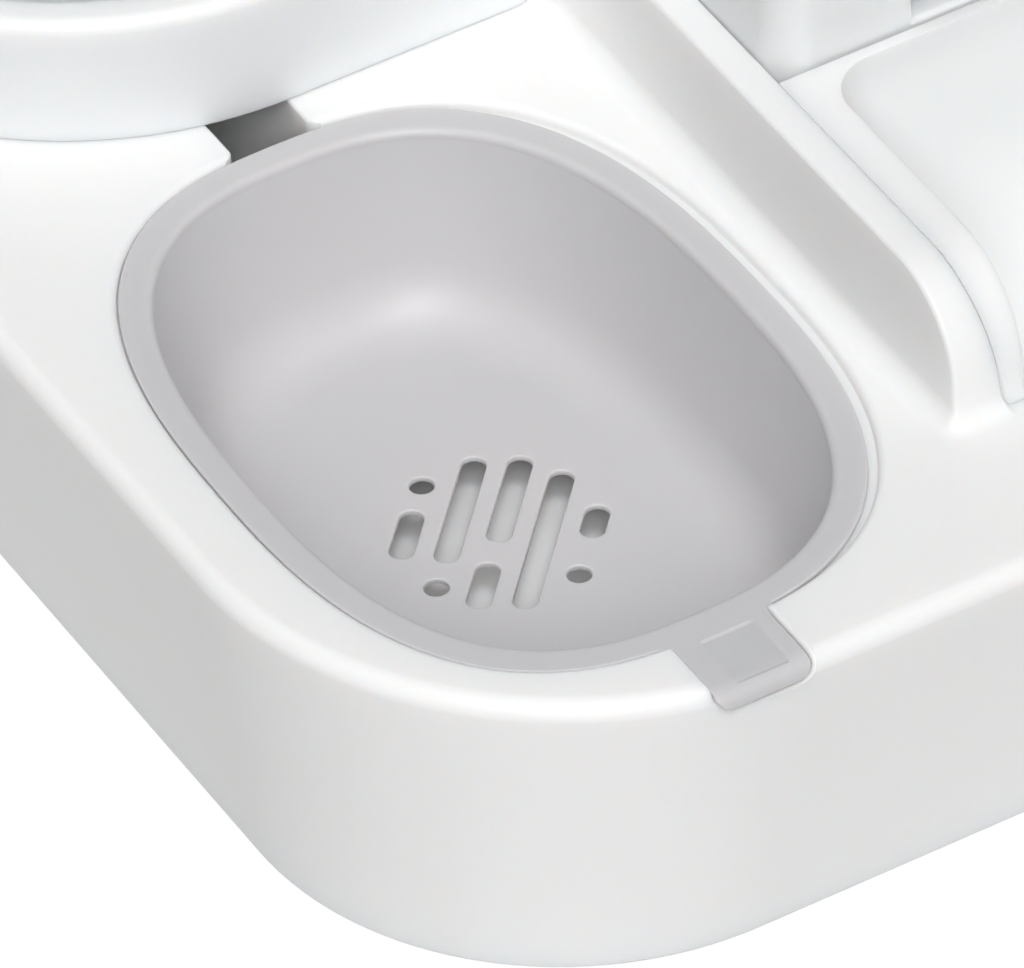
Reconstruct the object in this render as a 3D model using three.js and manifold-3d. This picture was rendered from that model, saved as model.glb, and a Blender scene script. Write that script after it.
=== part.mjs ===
// A counter-top feeder and waterer for a small pet: one moulded base with a drinking basin on the
// left, fed by an inverted bottle, and a food bowl on the right, fed by a hopper.
// Millimetres, +Z up, +Y to the back. The origin is on the floor under the middle of the base.
import * as THREE from 'three';
import { mergeVertices } from 'three/addons/utils/BufferGeometryUtils.js';
import Module from 'manifold-3d';

const wasm = await Module();
wasm.setup();

// Driving dimensions

const overrun = 5;
const weldTolerance = 0.0001;
const fit = { seat: 0.3, slide: 0.4 };

const base = {
  width: 312,
  depth: 340,
  height: 66.8,
  wall: 2.8,
  footInset: 3.6,
  topEdgeRadius: 4,
  frontCornerTop: 84.9,
  frontCornerFoot: 70.4,
  backCornerTop: 60,
  backCornerFoot: 46,
};

const foot = { radius: 9, proud: 2, seatDepth: 1.5, edgeInset: 42 };
const plate = { thickness: 3 };
const screw = {
  shankRadius: 1.5,
  headRadius: 3.1,
  headHeight: 1.6,
  counterbore: 2,
  length: 14,
  bossRadius: 4.2,
  edgeInset: 13,
  frontInset: 20,
};

const basin = {
  edgeMargin: 14.7,
  frontMargin: 18.05,
  halfWidth: 61.05,
  halfLength: 85,
  roundness: 2.62,
  frontFullnessShare: 0.017,
  ledgeWidth: 5.5,
  floorLift: 14.8,
  sumpHeight: 10.1,
  draftRun: 2,
  filletRun: 9,
  filletDrop: 9,
};

const tray = {
  thickness: 2,
  rimDepth: 2,
  rimWidth: 5.5,
  rollRun: 3.4,
  rollDrop: 4,
  wallRun: 5,
  filletRun: 15,
  filletDrop: 12,
};

const tab = {
  width: 21,
  frontInset: 0.4,
  bendRun: 5,
  bendDrop: 2.9,
  cornerRadius: 4,
  padWidth: 12.2,
  padFront: 4.5,
  padLength: 13.2,
  padDepth: 0.5,
};

const drain = { width: 5, pitch: 8.9, reach: 22.6, angle: 48 };
const drainSlotShares = [
  { column: -2, from: -0.478, to: 0.157 },
  { column: -1, from: -0.466, to: 0.925 },
  { column: 0, from: -0.133, to: 1 },
  { column: 0, from: -1, to: -0.403 },
  { column: 1, from: -0.938, to: 0.872 },
  { column: 2, from: 0.053, to: 0.478 },
];
const drainDotShares = [
  { column: -2, at: 0.488 },
  { column: -1, at: -0.79 },
  { column: 2, at: -0.426 },
];

const cheek = {
  gap: 6.3,
  thickness: 7.4,
  height: 29.8,
  frontInset: 41.64,
  draft: 3.7,
  noseRadius: 20,
  backRadius: 40,
};

const bay = { rightInset: 22.1, backInset: 17.7 };
const well = { length: 76.4, depth: 40, draft: 1.2 };

const bowl = {
  wall: 2.6,
  lipRise: 2.4,
  frontFillet: 13,
  floorLength: 17,
  sideRound: 11,
  rampPullShares: { along: 0.66, up: 0.07 },
};

const channel = { width: 17.8, depth: 34 };
const dock = { radius: 34, postRadius: 4 };

const collar = {
  edgeInset: 3.35,
  cheekGap: 2,
  cellGap: 8.65,
  height: 29.8,
  wall: 2.5,
  topEdgeRadius: 3,
  frontRadius: 82,
  cornerRadius: 4,
  ringGap: 0.5,
  ringWall: 2.2,
  ringDrop: 4,
  seatDepth: 3,
};

const bottle = {
  inset: 8,
  height: 224,
  wall: 1.8,
  taper: 2.5,
  topEdgeRadius: 9,
  footEdgeRadius: 5,
  sideCornerRadius: 18,
  neckRadius: 18.6,
  neckLength: 42,
};

const cap = {
  wall: 2,
  floorThickness: 2.5,
  skirtHeight: 20,
  gasketThickness: 1.4,
  grips: 16,
  gripRadius: 0.9,
};

const valve = {
  holeRadius: 6.5,
  lift: 3.5,
  discRadius: 9,
  discThickness: 2,
  washerThickness: 1.2,
  washerRadius: 8.6,
  stemRadius: 2,
  tipRadius: 3.2,
  tipReach: 2.4,
  stemAbove: 13.5,
  cageRadius: 13,
  cageWall: 1.6,
  cageHeight: 16.5,
  legs: 3,
  legWidth: 5,
  springRadius: 4.4,
  springWire: 0.9,
  springTurns: 4.5,
};

const tower = {
  wall: 2.6,
  splitHeight: 126,
  tankHeight: 118,
  lidHeight: 12,
  flareHeight: 20,
  flareInset: 2.1,
  splitInset: 5,
  topInset: 7.5,
  frontRadius: 8,
  lipDepth: 8,
  tankWall: 2,
  mouthInset: 31.7,
  mouthHeight: 33,
  mouthCorner: 10,
  sillRise: 1,
};

const lid = {
  topEdgeRadius: 5,
  sealHeight: 2,
  sealWidth: 2.4,
  gripWidth: 34,
  gripReach: 7,
  gripThickness: 3,
};

const hinge = {
  pinRadius: 1.5,
  pinGap: 0.2,
  knuckleRadius: 3.6,
  standOff: 4.6,
  lidKnuckle: 40,
  earLength: 10,
  drop: 2,
};

const roundSteps = { corner: 8, edge: 3, cell: 48, hole: 3, pin: 16, grip: 5, wire: 5, turn: 10 };

// Places that follow from the driving dimensions

const left = -base.width / 2;
const right = base.width / 2;
const front = -base.depth / 2;
const back = base.depth / 2;
const underside = foot.proud;
const top = underside + base.height;
const cellX = left + basin.edgeMargin + basin.halfWidth;
const cellY = front + basin.frontMargin + basin.halfLength;
const pocketDepth = base.height - basin.floorLift;
const trayFloorDepth = pocketDepth - basin.sumpHeight - tray.thickness;
const cheekLeft = left + basin.edgeMargin + 2 * basin.halfWidth + cheek.gap;
const bayLeft = cheekLeft + cheek.thickness;
const bayRight = right - bay.rightInset;
const bayX = (bayLeft + bayRight) / 2;
const bayBack = back - bay.backInset;
const cheekFront = front + cheek.frontInset;
const cheekTop = top + cheek.height;
const wellBack = cheekFront + well.length;
const collarFront = cellY + basin.halfLength + collar.cellGap;
const collarBack = back - collar.edgeInset;
const collarTop = top + collar.height;
const dockY = (collarFront + collarBack) / 2;

// Solids: joining, cutting and lofting

function solid(geometry) {
  const bare = new THREE.BufferGeometry();
  bare.setAttribute('position', geometry.getAttribute('position').clone());
  if (geometry.index) bare.setIndex(geometry.index.clone());
  const welded = mergeVertices(bare, weldTolerance);
  const corners = welded.index.array;
  const faces = [];
  for (let i = 0; i < corners.length; i += 3) {
    const [a, b, c] = corners.slice(i, i + 3);
    if (a !== b && b !== c && c !== a) faces.push(a, b, c);
  }
  return new wasm.Manifold(new wasm.Mesh({
    numProp: 3,
    vertProperties: new Float32Array(welded.getAttribute('position').array),
    triVerts: new Uint32Array(faces),
  }));
}

function joined(first, ...others) {
  return others.reduce((sum, other) => sum.add(other), first);
}

function cut(body, ...tools) {
  return tools.reduce((rest, tool) => rest.subtract(tool), body);
}

// Rings have equal counts, run anticlockwise seen from above and are listed from the bottom up.
function loft(rings) {
  const count = rings[0].length;
  const faces = [];
  for (let level = 1; level < rings.length; level += 1) {
    for (let i = 0; i < count; i += 1) {
      const next = (i + 1) % count;
      const lower = (level - 1) * count;
      const upper = level * count;
      faces.push(lower + i, lower + next, upper + next, lower + i, upper + next, upper + i);
    }
  }
  const lastLevel = rings.length - 1;
  for (const [a, b, c] of flatFaces(rings[0])) faces.push(c, b, a);
  for (const face of flatFaces(rings[lastLevel])) {
    faces.push(...face.map((corner) => lastLevel * count + corner));
  }
  const geometry = new THREE.BufferGeometry();
  geometry.setAttribute('position', new THREE.Float32BufferAttribute(rings.flat(2), 3));
  geometry.setIndex(faces);
  return solid(geometry);
}

function flatFaces(ring) {
  return THREE.ShapeUtils.triangulateShape(ring.map(([x, y]) => new THREE.Vector2(x, y)), []);
}

// A level ring with its own radius at each corner: front left, front right, back right, back left.
// Radii that are too large for a side are drawn in alike until they meet on it.
function cornerRing(edges, wantedRadii, z, steps = roundSteps.corner) {
  const sides = [edges.right - edges.left, edges.back - edges.front];
  const room = wantedRadii.map((radius, i) => sides[i % 2] / (radius + wantedRadii[(i + 1) % 4]));
  const radii = wantedRadii.map((radius) => radius * Math.min(1, ...room));
  const centres = [
    [edges.left + radii[0], edges.front + radii[0]],
    [edges.right - radii[1], edges.front + radii[1]],
    [edges.right - radii[2], edges.back - radii[2]],
    [edges.left + radii[3], edges.back - radii[3]],
  ];
  const ring = [];
  centres.forEach(([x, y], corner) => {
    for (let step = 0; step <= steps; step += 1) {
      const angle = Math.PI + (corner + step / steps) * Math.PI / 2;
      ring.push([x + radii[corner] * Math.cos(angle), y + radii[corner] * Math.sin(angle), z]);
    }
  });
  return ring;
}

function insetEdges(edges, inset) {
  return {
    left: edges.left + inset,
    right: edges.right - inset,
    front: edges.front + inset,
    back: edges.back - inset,
  };
}

function roundRing(x, y, radius, z) {
  const edges = { left: x - radius, right: x + radius, front: y - radius, back: y + radius };
  return cornerRing(edges, [radius, radius, radius, radius], z);
}

function edgeSteps(radius) {
  return Array.from({ length: roundSteps.edge + 1 }, (_, step) => {
    const angle = (step / roundSteps.edge) * Math.PI / 2;
    return { inset: radius * (1 - Math.cos(angle)), rise: radius * Math.sin(angle) };
  });
}

// An outline in (y, z), drawn as seen from the right, made solid between two x places.
// The edges at both ends are rounded by endRound.
function acrossX(shape, fromX, toX, endRound = 0) {
  const geometry = new THREE.ExtrudeGeometry(shape, {
    depth: toX - fromX - 2 * endRound,
    bevelEnabled: endRound > 0,
    bevelSize: endRound,
    bevelOffset: -endRound,
    bevelThickness: endRound,
    bevelSegments: roundSteps.edge + 1,
    curveSegments: roundSteps.hole,
  });
  geometry.translate(0, 0, fromX + endRound);
  geometry.applyMatrix4(new THREE.Matrix4().set(0, 0, 1, 0, 1, 0, 0, 0, 0, 1, 0, 0, 0, 0, 0, 1));
  return solid(geometry);
}

function upFromFloor(shape, fromZ, toZ) {
  const geometry = new THREE.ExtrudeGeometry(shape, {
    depth: toZ - fromZ,
    bevelEnabled: false,
    curveSegments: roundSteps.hole,
  });
  geometry.translate(0, 0, fromZ);
  return solid(geometry);
}

function block(fromX, toX, fromY, toY, fromZ, toZ) {
  const geometry = new THREE.BoxGeometry(toX - fromX, toY - fromY, toZ - fromZ);
  geometry.translate((fromX + toX) / 2, (fromY + toY) / 2, (fromZ + toZ) / 2);
  return solid(geometry);
}

function upright(x, y, radius, fromZ, toZ, sides = roundSteps.pin) {
  const geometry = new THREE.CylinderGeometry(radius, radius, toZ - fromZ, sides);
  geometry.rotateX(Math.PI / 2);
  geometry.translate(x, y, (fromZ + toZ) / 2);
  return solid(geometry);
}

function crosswise(fromX, toX, y, z, radius) {
  const geometry = new THREE.CylinderGeometry(radius, radius, toX - fromX, roundSteps.pin);
  geometry.rotateZ(Math.PI / 2);
  geometry.translate((fromX + toX) / 2, y, z);
  return solid(geometry);
}

// A profile of [radius, height] points turned about an upright axis.
function turned(x, y, profile, sides) {
  const geometry = new THREE.LatheGeometry(profile.map(([r, z]) => new THREE.Vector2(r, z)), sides);
  geometry.rotateX(Math.PI / 2);
  geometry.translate(x, y, 0);
  return solid(geometry);
}

// Colours and materials

const finishes = {
  white: { color: 0xf1f1f0, roughness: 0.42, metalness: 0 },
  grey: { color: 0xbfbbbe, roughness: 0.5, metalness: 0 },
  clear: { color: 0xdfe6ea, roughness: 0.12, metalness: 0, transparent: true, opacity: 0.45 },
  rubber: { color: 0x8b8b8d, roughness: 0.8, metalness: 0 },
  seal: { color: 0xe4e2dd, roughness: 0.7, metalness: 0 },
  steel: { color: 0xb9bcc0, roughness: 0.3, metalness: 1 },
};

const feeder = new THREE.Group();

function add(name, body, finish) {
  const { vertProperties, triVerts } = body.getMesh();
  const geometry = new THREE.BufferGeometry();
  geometry.setAttribute('position', new THREE.BufferAttribute(vertProperties, 3));
  geometry.setIndex(new THREE.BufferAttribute(triVerts, 1));
  geometry.computeVertexNormals();
  const mesh = new THREE.Mesh(geometry, new THREE.MeshStandardMaterial(finishes[finish]));
  mesh.name = name;
  feeder.add(mesh);
}

// Outlines that several pieces share

const baseEdges = { left, right, front, back };

function baseRing(inset, frontRadius, backRadius, z) {
  return cornerRing(insetEdges(baseEdges, inset), [frontRadius, frontRadius, backRadius, backRadius], z);
}

// The base's side leans in towards the floor: how far, at a height.
function sideShare(z) {
  return (z - underside) / (base.height - base.topEdgeRadius);
}

function sideRing(grow, z) {
  const share = sideShare(z);
  const frontRadius = THREE.MathUtils.lerp(base.frontCornerFoot, base.frontCornerTop, share);
  const backRadius = THREE.MathUtils.lerp(base.backCornerFoot, base.backCornerTop, share);
  return baseRing(base.footInset * (1 - share) - grow, frontRadius + grow, backRadius + grow, z);
}

// The drinking cell's outline, a squared oval a little fuller at the front.
function cellRing(inset, depth) {
  const ring = [];
  for (let step = 0; step < roundSteps.cell; step += 1) {
    const angle = (step / roundSteps.cell) * 2 * Math.PI;
    const across = Math.sign(Math.cos(angle)) * Math.abs(Math.cos(angle)) ** (2 / basin.roundness);
    const along = Math.sign(Math.sin(angle)) * Math.abs(Math.sin(angle)) ** (2 / basin.roundness);
    const fullness = 1 - basin.frontFullnessShare * along;
    ring.push([
      cellX + (basin.halfWidth - inset) * across * fullness,
      cellY + (basin.halfLength - inset) * along,
      top - depth,
    ]);
  }
  return ring;
}

const bayEdges = { left: bayLeft, right: bayRight, front: cheekFront, back: bayBack };

function bayRing(inset, frontRadius, backRadius, z, edges = bayEdges) {
  return cornerRing(insetEdges(edges, inset), [frontRadius, frontRadius, backRadius, backRadius], z);
}

// How far the sides of the food bay draw in at a height: more towards the floor.
function bayDraft(z) {
  if (z > top) return cheek.draft * Math.max(1 - (z - top) / cheek.height, 0);
  return cheek.draft + well.draft * Math.min((top - z) / well.depth, 1);
}

// The food well's outline, which the bowl follows: the draft at the front and back is the well's alone.
function wellRing(inset, z) {
  const corner = bowl.wall - inset;
  return bayRing(bayDraft(z) + inset, corner, corner, z, {
    ...bayEdges,
    front: cheekFront - cheek.draft,
    back: wellBack + cheek.draft,
  });
}

// The cheeks seen from the side: upright at the front, rounded over at the top.
function cheekOutline(shrink, lowZ) {
  const frontY = cheekFront + shrink;
  const topZ = cheekTop - shrink;
  const nose = cheek.noseRadius - shrink;
  const outline = new THREE.Shape();
  outline.moveTo(frontY, lowZ);
  outline.lineTo(back, lowZ);
  outline.lineTo(back, topZ);
  outline.lineTo(frontY + nose, topZ);
  outline.absarc(frontY + nose, topZ - nose, nose, Math.PI / 2, Math.PI, false);
  return outline;
}

const collarEdges = {
  left: left + collar.edgeInset,
  right: cheekLeft - collar.cheekGap,
  front: collarFront,
  back: collarBack,
};

function collarRing(inset, z) {
  const radii = [
    collar.frontRadius - inset,
    Math.max(collar.cornerRadius - inset, fit.seat),
    Math.max(collar.cornerRadius - inset, fit.seat),
    base.backCornerTop - collar.edgeInset - inset,
  ];
  return cornerRing(insetEdges(collarEdges, inset), radii, z);
}

function bottleRing(inset, z) {
  const radii = [
    collar.frontRadius - bottle.inset - inset,
    bottle.sideCornerRadius - inset,
    bottle.sideCornerRadius - inset,
    base.backCornerTop - collar.edgeInset - bottle.inset - inset,
  ];
  return cornerRing(insetEdges(collarEdges, bottle.inset + inset), radii, z);
}

const screwPlaces = [
  [cheekLeft + cheek.thickness / 2, front + screw.frontInset],
  [cheekLeft + cheek.thickness / 2, back - screw.frontInset],
  [right - screw.edgeInset, (cheekFront + wellBack) / 2],
  [right - screw.edgeInset, (wellBack + bayBack) / 2],
  [left + screw.edgeInset, collarFront],
  [left + foot.edgeInset / 2 + screw.bossRadius, back - foot.edgeInset],
];

const footPlaces = [
  ['foot_front_left', left + foot.edgeInset, front + foot.edgeInset],
  ['foot_front_right', right - foot.edgeInset, front + foot.edgeInset],
  ['foot_back_left', left + foot.edgeInset, back - foot.edgeInset],
  ['foot_back_right', right - foot.edgeInset, back - foot.edgeInset],
];

// The finger tab's upper line, from the rim outwards and down over the base's edge.
function tabOutline(drop, reach, ceiling) {
  const rootY = front + basin.frontMargin + tray.rimWidth;
  const tipY = front + tab.frontInset - reach;
  const level = top - tray.rimDepth - drop;
  const outline = new THREE.Shape();
  outline.moveTo(rootY, ceiling);
  outline.lineTo(rootY, level);
  const bendY = front + tab.frontInset + drop;
  outline.lineTo(bendY + tab.bendRun, level);
  outline.quadraticCurveTo(bendY, level, bendY, level - tab.bendDrop);
  outline.lineTo(tipY, level - tab.bendDrop);
  outline.lineTo(tipY, ceiling);
  return outline;
}

// Base shell

function baseShell() {
  const skin = base.wall;
  const shoulder = top - base.topEdgeRadius;
  const outer = loft([
    sideRing(0, underside),
    ...edgeSteps(base.topEdgeRadius).map(({ inset, rise }) => baseRing(
      inset,
      base.frontCornerTop - inset,
      base.backCornerTop - inset,
      shoulder + rise,
    )),
  ]);
  const channelLeft = cellX - channel.width / 2;
  const channelRight = cellX + channel.width / 2;
  const bossFoot = underside + plate.thickness + fit.seat;
  const hollow = cut(
    loft([sideRing(-skin, underside - overrun), sideRing(-skin, top - skin)]),
    loft([
      cellRing(basin.draftRun + basin.filletRun, pocketDepth + skin),
      cellRing(0, pocketDepth - basin.filletDrop),
      cellRing(-skin, 0),
    ]),
    loft([wellRing(-skin, top - well.depth - skin), wellRing(-skin, top)]),
    loft([top - pocketDepth - skin, top].map((z) => roundRing(cellX, dockY, dock.radius + skin, z))),
    block(channelLeft - skin, channelRight + skin, cellY, dockY, top - channel.depth - skin, top),
    ...screwPlaces.map(([x, y]) => upright(x, y, screw.bossRadius, bossFoot, top)),
  );
  const bayFront = { ...bayEdges, front: cheekFront - 2 * overrun };
  const bayInside = (z) => bayRing(bayDraft(z), fit.seat, cheek.backRadius - bayDraft(z), z, bayFront);
  const cheekOutside = (z) => bayRing(-cheek.thickness, fit.seat, cheek.backRadius + cheek.thickness, z);
  const cheeks = cut(
    loft([cheekOutside(top - skin), cheekOutside(cheekTop)]),
    loft([top - skin - fit.seat, top, cheekTop, cheekTop + overrun].map(bayInside)),
  ).intersect(acrossX(cheekOutline(0, top - overrun), left, right));
  const rim = tray.rimDepth + tray.thickness + fit.seat;
  const pocket = [
    cellRing(basin.ledgeWidth + basin.draftRun + basin.filletRun, pocketDepth),
    cellRing(basin.ledgeWidth + basin.draftRun, pocketDepth - basin.filletDrop),
    cellRing(basin.ledgeWidth, rim),
    cellRing(0, rim),
    cellRing(0, -overrun),
  ];
  const tabSlot = acrossX(
    tabOutline(tray.thickness + fit.slide, overrun, top + overrun),
    cellX - tab.width / 2 - fit.slide,
    cellX + tab.width / 2 + fit.slide,
  );
  const body = cut(
    joined(outer, cheeks),
    hollow,
    loft(pocket),
    tabSlot,
    block(channelLeft, channelRight, cellY, dockY, top - channel.depth, top + overrun),
    upright(cellX, dockY, dock.radius, top - pocketDepth, top + overrun, 4 * roundSteps.corner),
    loft([wellRing(0, top - well.depth), wellRing(0, top), wellRing(0, top + fit.seat)]),
    ...screwPlaces.map(([x, y]) => upright(
      x,
      y,
      screw.shankRadius + fit.seat,
      underside,
      underside + plate.thickness + screw.length,
      roundSteps.pin / 2,
    )),
  );
  const postTop = valveSeatZ - valve.tipReach - fit.seat;
  return joined(body, upright(cellX, dockY, dock.postRadius, top - pocketDepth - skin / 2, postTop));
}

// Heights inside the bottle's neck and cap

const bottleFoot = collarTop - collar.seatDepth + fit.seat;
const neckEnd = bottleFoot - bottle.neckLength;
const capInside = neckEnd - cap.gasketThickness - 2 * fit.seat;
const valveSeatZ = capInside - cap.floorThickness;

// Floor plate, feet and screws

function bottomPlate() {
  const slack = base.wall + fit.seat;
  const slab = loft([sideRing(-slack, underside), sideRing(-slack, underside + plate.thickness)]);
  return cut(
    slab,
    ...footPlaces.map(([, x, y]) => upright(
      x,
      y,
      foot.radius + fit.seat,
      underside - overrun,
      underside + foot.seatDepth,
    )),
    ...screwPlaces.map(([x, y]) => upright(
      x,
      y,
      screw.headRadius + fit.slide,
      underside - overrun,
      underside + screw.counterbore,
    )),
    ...screwPlaces.map(([x, y]) => upright(
      x,
      y,
      screw.shankRadius + fit.seat,
      underside,
      underside + plate.thickness + overrun,
      roundSteps.pin / 2,
    )),
  );
}

function rubberFoot(x, y) {
  const crown = foot.radius / 6;
  return turned(x, y, [
    [0, 0],
    [foot.radius - crown, 0],
    [foot.radius, crown / 2],
    [foot.radius, underside + foot.seatDepth - fit.seat],
    [0, underside + foot.seatDepth - fit.seat],
  ], roundSteps.pin);
}

function caseScrew(x, y) {
  const seat = underside + screw.counterbore - fit.seat;
  return turned(x, y, [
    [0, seat - screw.headHeight],
    [screw.headRadius - screw.headHeight / 2, seat - screw.headHeight],
    [screw.headRadius, seat - screw.headHeight / 2],
    [screw.headRadius, seat],
    [screw.shankRadius, seat],
    [screw.shankRadius, seat + screw.length - screw.shankRadius],
    [0, seat + screw.length],
  ], roundSteps.pin / 2);
}

// Drinking tray

function trayProfile(grow) {
  const start = fit.slide + tray.rimWidth - grow;
  const rollEnd = start + tray.rollRun;
  const wallStart = tray.rimDepth + tray.rollDrop;
  const wallEnd = trayFloorDepth + grow - tray.filletDrop;
  const profile = new THREE.Path();
  profile.moveTo(start, tray.rimDepth);
  profile.quadraticCurveTo(rollEnd, tray.rimDepth, rollEnd, wallStart);
  profile.lineTo(rollEnd + tray.wallRun, wallEnd);
  profile.quadraticCurveTo(
    rollEnd + tray.wallRun + tray.filletRun / 4,
    trayFloorDepth + grow,
    rollEnd + tray.wallRun + tray.filletRun,
    trayFloorDepth + grow,
  );
  return profile.getPoints(roundSteps.edge + 1).reverse();
}

function drainSlot(column, from, to) {
  const half = drain.width / 2;
  const slot = new THREE.Shape();
  slot.absarc(to * drain.reach - half, -column * drain.pitch, half, -Math.PI / 2, Math.PI / 2, false);
  slot.absarc(from * drain.reach + half, -column * drain.pitch, half, Math.PI / 2, 3 * Math.PI / 2, false);
  return drainCut(slot);
}

function drainDot(column, at) {
  const half = drain.width / drain.reach / 2;
  return drainSlot(column, at - half, at + half);
}

function drainCut(shape) {
  const geometry = new THREE.ExtrudeGeometry(shape, {
    depth: tray.thickness + 2 * overrun,
    bevelEnabled: false,
    curveSegments: roundSteps.hole,
  });
  geometry.rotateZ(THREE.MathUtils.degToRad(drain.angle));
  geometry.translate(cellX, cellY, top - trayFloorDepth - tray.thickness - overrun);
  return solid(geometry);
}

function strainerTray() {
  const rimUnder = tray.rimDepth + tray.thickness;
  const rimInside = fit.slide + tray.rimWidth;
  const outside = trayProfile(tray.thickness).filter(({ y }) => y > rimUnder);
  const inside = trayProfile(0);
  const dish = cut(
    loft([
      ...outside.map(({ x, y }) => cellRing(x, y)),
      cellRing(outside[outside.length - 1].x, rimUnder),
      cellRing(fit.slide, rimUnder),
      cellRing(fit.slide, tray.rimDepth),
    ]),
    loft([...inside.map(({ x, y }) => cellRing(x, y)), cellRing(rimInside, tray.rimDepth - overrun)]),
  );
  const tongueLeft = cellX - tab.width / 2;
  const tongueRight = cellX + tab.width / 2;
  const tongueSlab = acrossX(tabOutline(tray.thickness, 0, top), tongueLeft, tongueRight);
  const tonguePlan = loft([top - 3 * overrun, top + overrun].map((z) => cornerRing(
    { left: tongueLeft, right: tongueRight, front: front + tab.frontInset, back: cellY },
    [tab.cornerRadius, tab.cornerRadius, fit.seat, fit.seat],
    z,
  )));
  const aboveTongue = acrossX(tabOutline(0, overrun, top + overrun), left, right);
  const dishInside = loft([cellRing(rimInside, trayFloorDepth), cellRing(rimInside, 0)]);
  const padFront = front + tab.padFront;
  const pad = block(
    cellX - tab.padWidth / 2,
    cellX + tab.padWidth / 2,
    padFront,
    padFront + tab.padLength,
    top - tray.rimDepth - tab.padDepth,
    top + overrun,
  );
  const tongue = cut(tongueSlab.intersect(tonguePlan), aboveTongue, dishInside, pad);
  return cut(
    joined(dish, tongue),
    ...drainSlotShares.map(({ column, from, to }) => drainSlot(column, from, to)),
    ...drainDotShares.map(({ column, at }) => drainDot(column, at)),
  );
}

// Raised collar that carries the bottle

function dockCollar() {
  const foot = top + fit.seat;
  const shoulder = collarTop - collar.topEdgeRadius;
  const outer = loft([
    collarRing(0, foot),
    ...edgeSteps(collar.topEdgeRadius).map(({ inset, rise }) => collarRing(inset, shoulder + rise)),
  ]);
  const underRoof = collarTop - collar.seatDepth - collar.wall;
  const inner = loft([collarRing(collar.wall, foot - overrun), collarRing(collar.wall, underRoof)]);
  const seat = loft([
    bottleRing(-fit.slide, collarTop - collar.seatDepth),
    bottleRing(-fit.slide, collarTop + overrun),
  ]);
  const ringFoot = top - collar.ringDrop;
  const ringRadius = dock.radius - collar.ringGap;
  const ring = upright(
    cellX,
    dockY,
    ringRadius,
    ringFoot,
    underRoof + collar.wall / 2,
    4 * roundSteps.corner,
  );
  const bore = upright(
    cellX,
    dockY,
    ringRadius - collar.ringWall,
    ringFoot - overrun,
    collarTop + overrun,
    4 * roundSteps.corner,
  );
  return cut(joined(cut(outer, inner, seat), ring), bore);
}

// Bottle, cap and valve

const bottleTop = bottleFoot + bottle.height;

function waterBottle() {
  const wallTop = bottleTop - bottle.topEdgeRadius;
  const skin = bottle.wall;
  const neck = (radius, z) => roundRing(cellX, dockY, radius, z);
  const outer = loft([
    neck(bottle.neckRadius, neckEnd),
    neck(bottle.neckRadius, bottleFoot),
    bottleRing(bottle.footEdgeRadius, bottleFoot),
    bottleRing(bottle.footEdgeRadius / 4, bottleFoot + bottle.footEdgeRadius / 2),
    bottleRing(0, bottleFoot + bottle.footEdgeRadius * 2),
    ...edgeSteps(bottle.topEdgeRadius).map(({ inset, rise }) => bottleRing(
      bottle.taper + inset,
      wallTop + rise,
    )),
  ]);
  const inner = loft([
    neck(bottle.neckRadius - skin, neckEnd - overrun),
    neck(bottle.neckRadius - skin, bottleFoot + skin),
    bottleRing(bottle.footEdgeRadius + skin, bottleFoot + skin),
    bottleRing(bottle.footEdgeRadius / 4 + skin, bottleFoot + bottle.footEdgeRadius / 2 + skin),
    bottleRing(skin, bottleFoot + bottle.footEdgeRadius * 2 + skin),
    ...edgeSteps(bottle.topEdgeRadius - skin).map(({ inset, rise }) => bottleRing(
      bottle.taper + skin + inset,
      wallTop + rise,
    )),
  ]);
  return cut(outer, inner);
}

function bottleCap() {
  const inside = bottle.neckRadius + fit.slide;
  const outside = inside + cap.wall;
  const skirtTop = capInside + cap.skirtHeight;
  const edge = cap.wall / 2;
  const shell = turned(cellX, dockY, [
    [valve.holeRadius, valveSeatZ],
    [outside - edge, valveSeatZ],
    [outside, valveSeatZ + edge],
    [outside, skirtTop],
    [inside, skirtTop],
    [inside, capInside],
    [valve.holeRadius, capInside],
    [valve.holeRadius, valveSeatZ],
  ], 2 * roundSteps.pin);
  const grips = Array.from({ length: cap.grips }, (_, i) => {
    const angle = (i / cap.grips) * 2 * Math.PI;
    const [x, y] = [cellX + outside * Math.cos(angle), dockY + outside * Math.sin(angle)];
    return upright(x, y, cap.gripRadius, valveSeatZ + 2 * edge, skirtTop - edge, roundSteps.grip);
  });
  return joined(shell, ...grips);
}

function flatRing(x, y, innerRadius, outerRadius, fromZ, toZ) {
  return turned(x, y, [
    [innerRadius, fromZ],
    [outerRadius, fromZ],
    [outerRadius, toZ],
    [innerRadius, toZ],
    [innerRadius, fromZ],
  ], 2 * roundSteps.pin);
}

function capGasket() {
  const foot = capInside + fit.seat;
  const inside = bottle.neckRadius - 2 * bottle.wall;
  return flatRing(cellX, dockY, inside, bottle.neckRadius, foot, foot + cap.gasketThickness);
}

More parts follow.
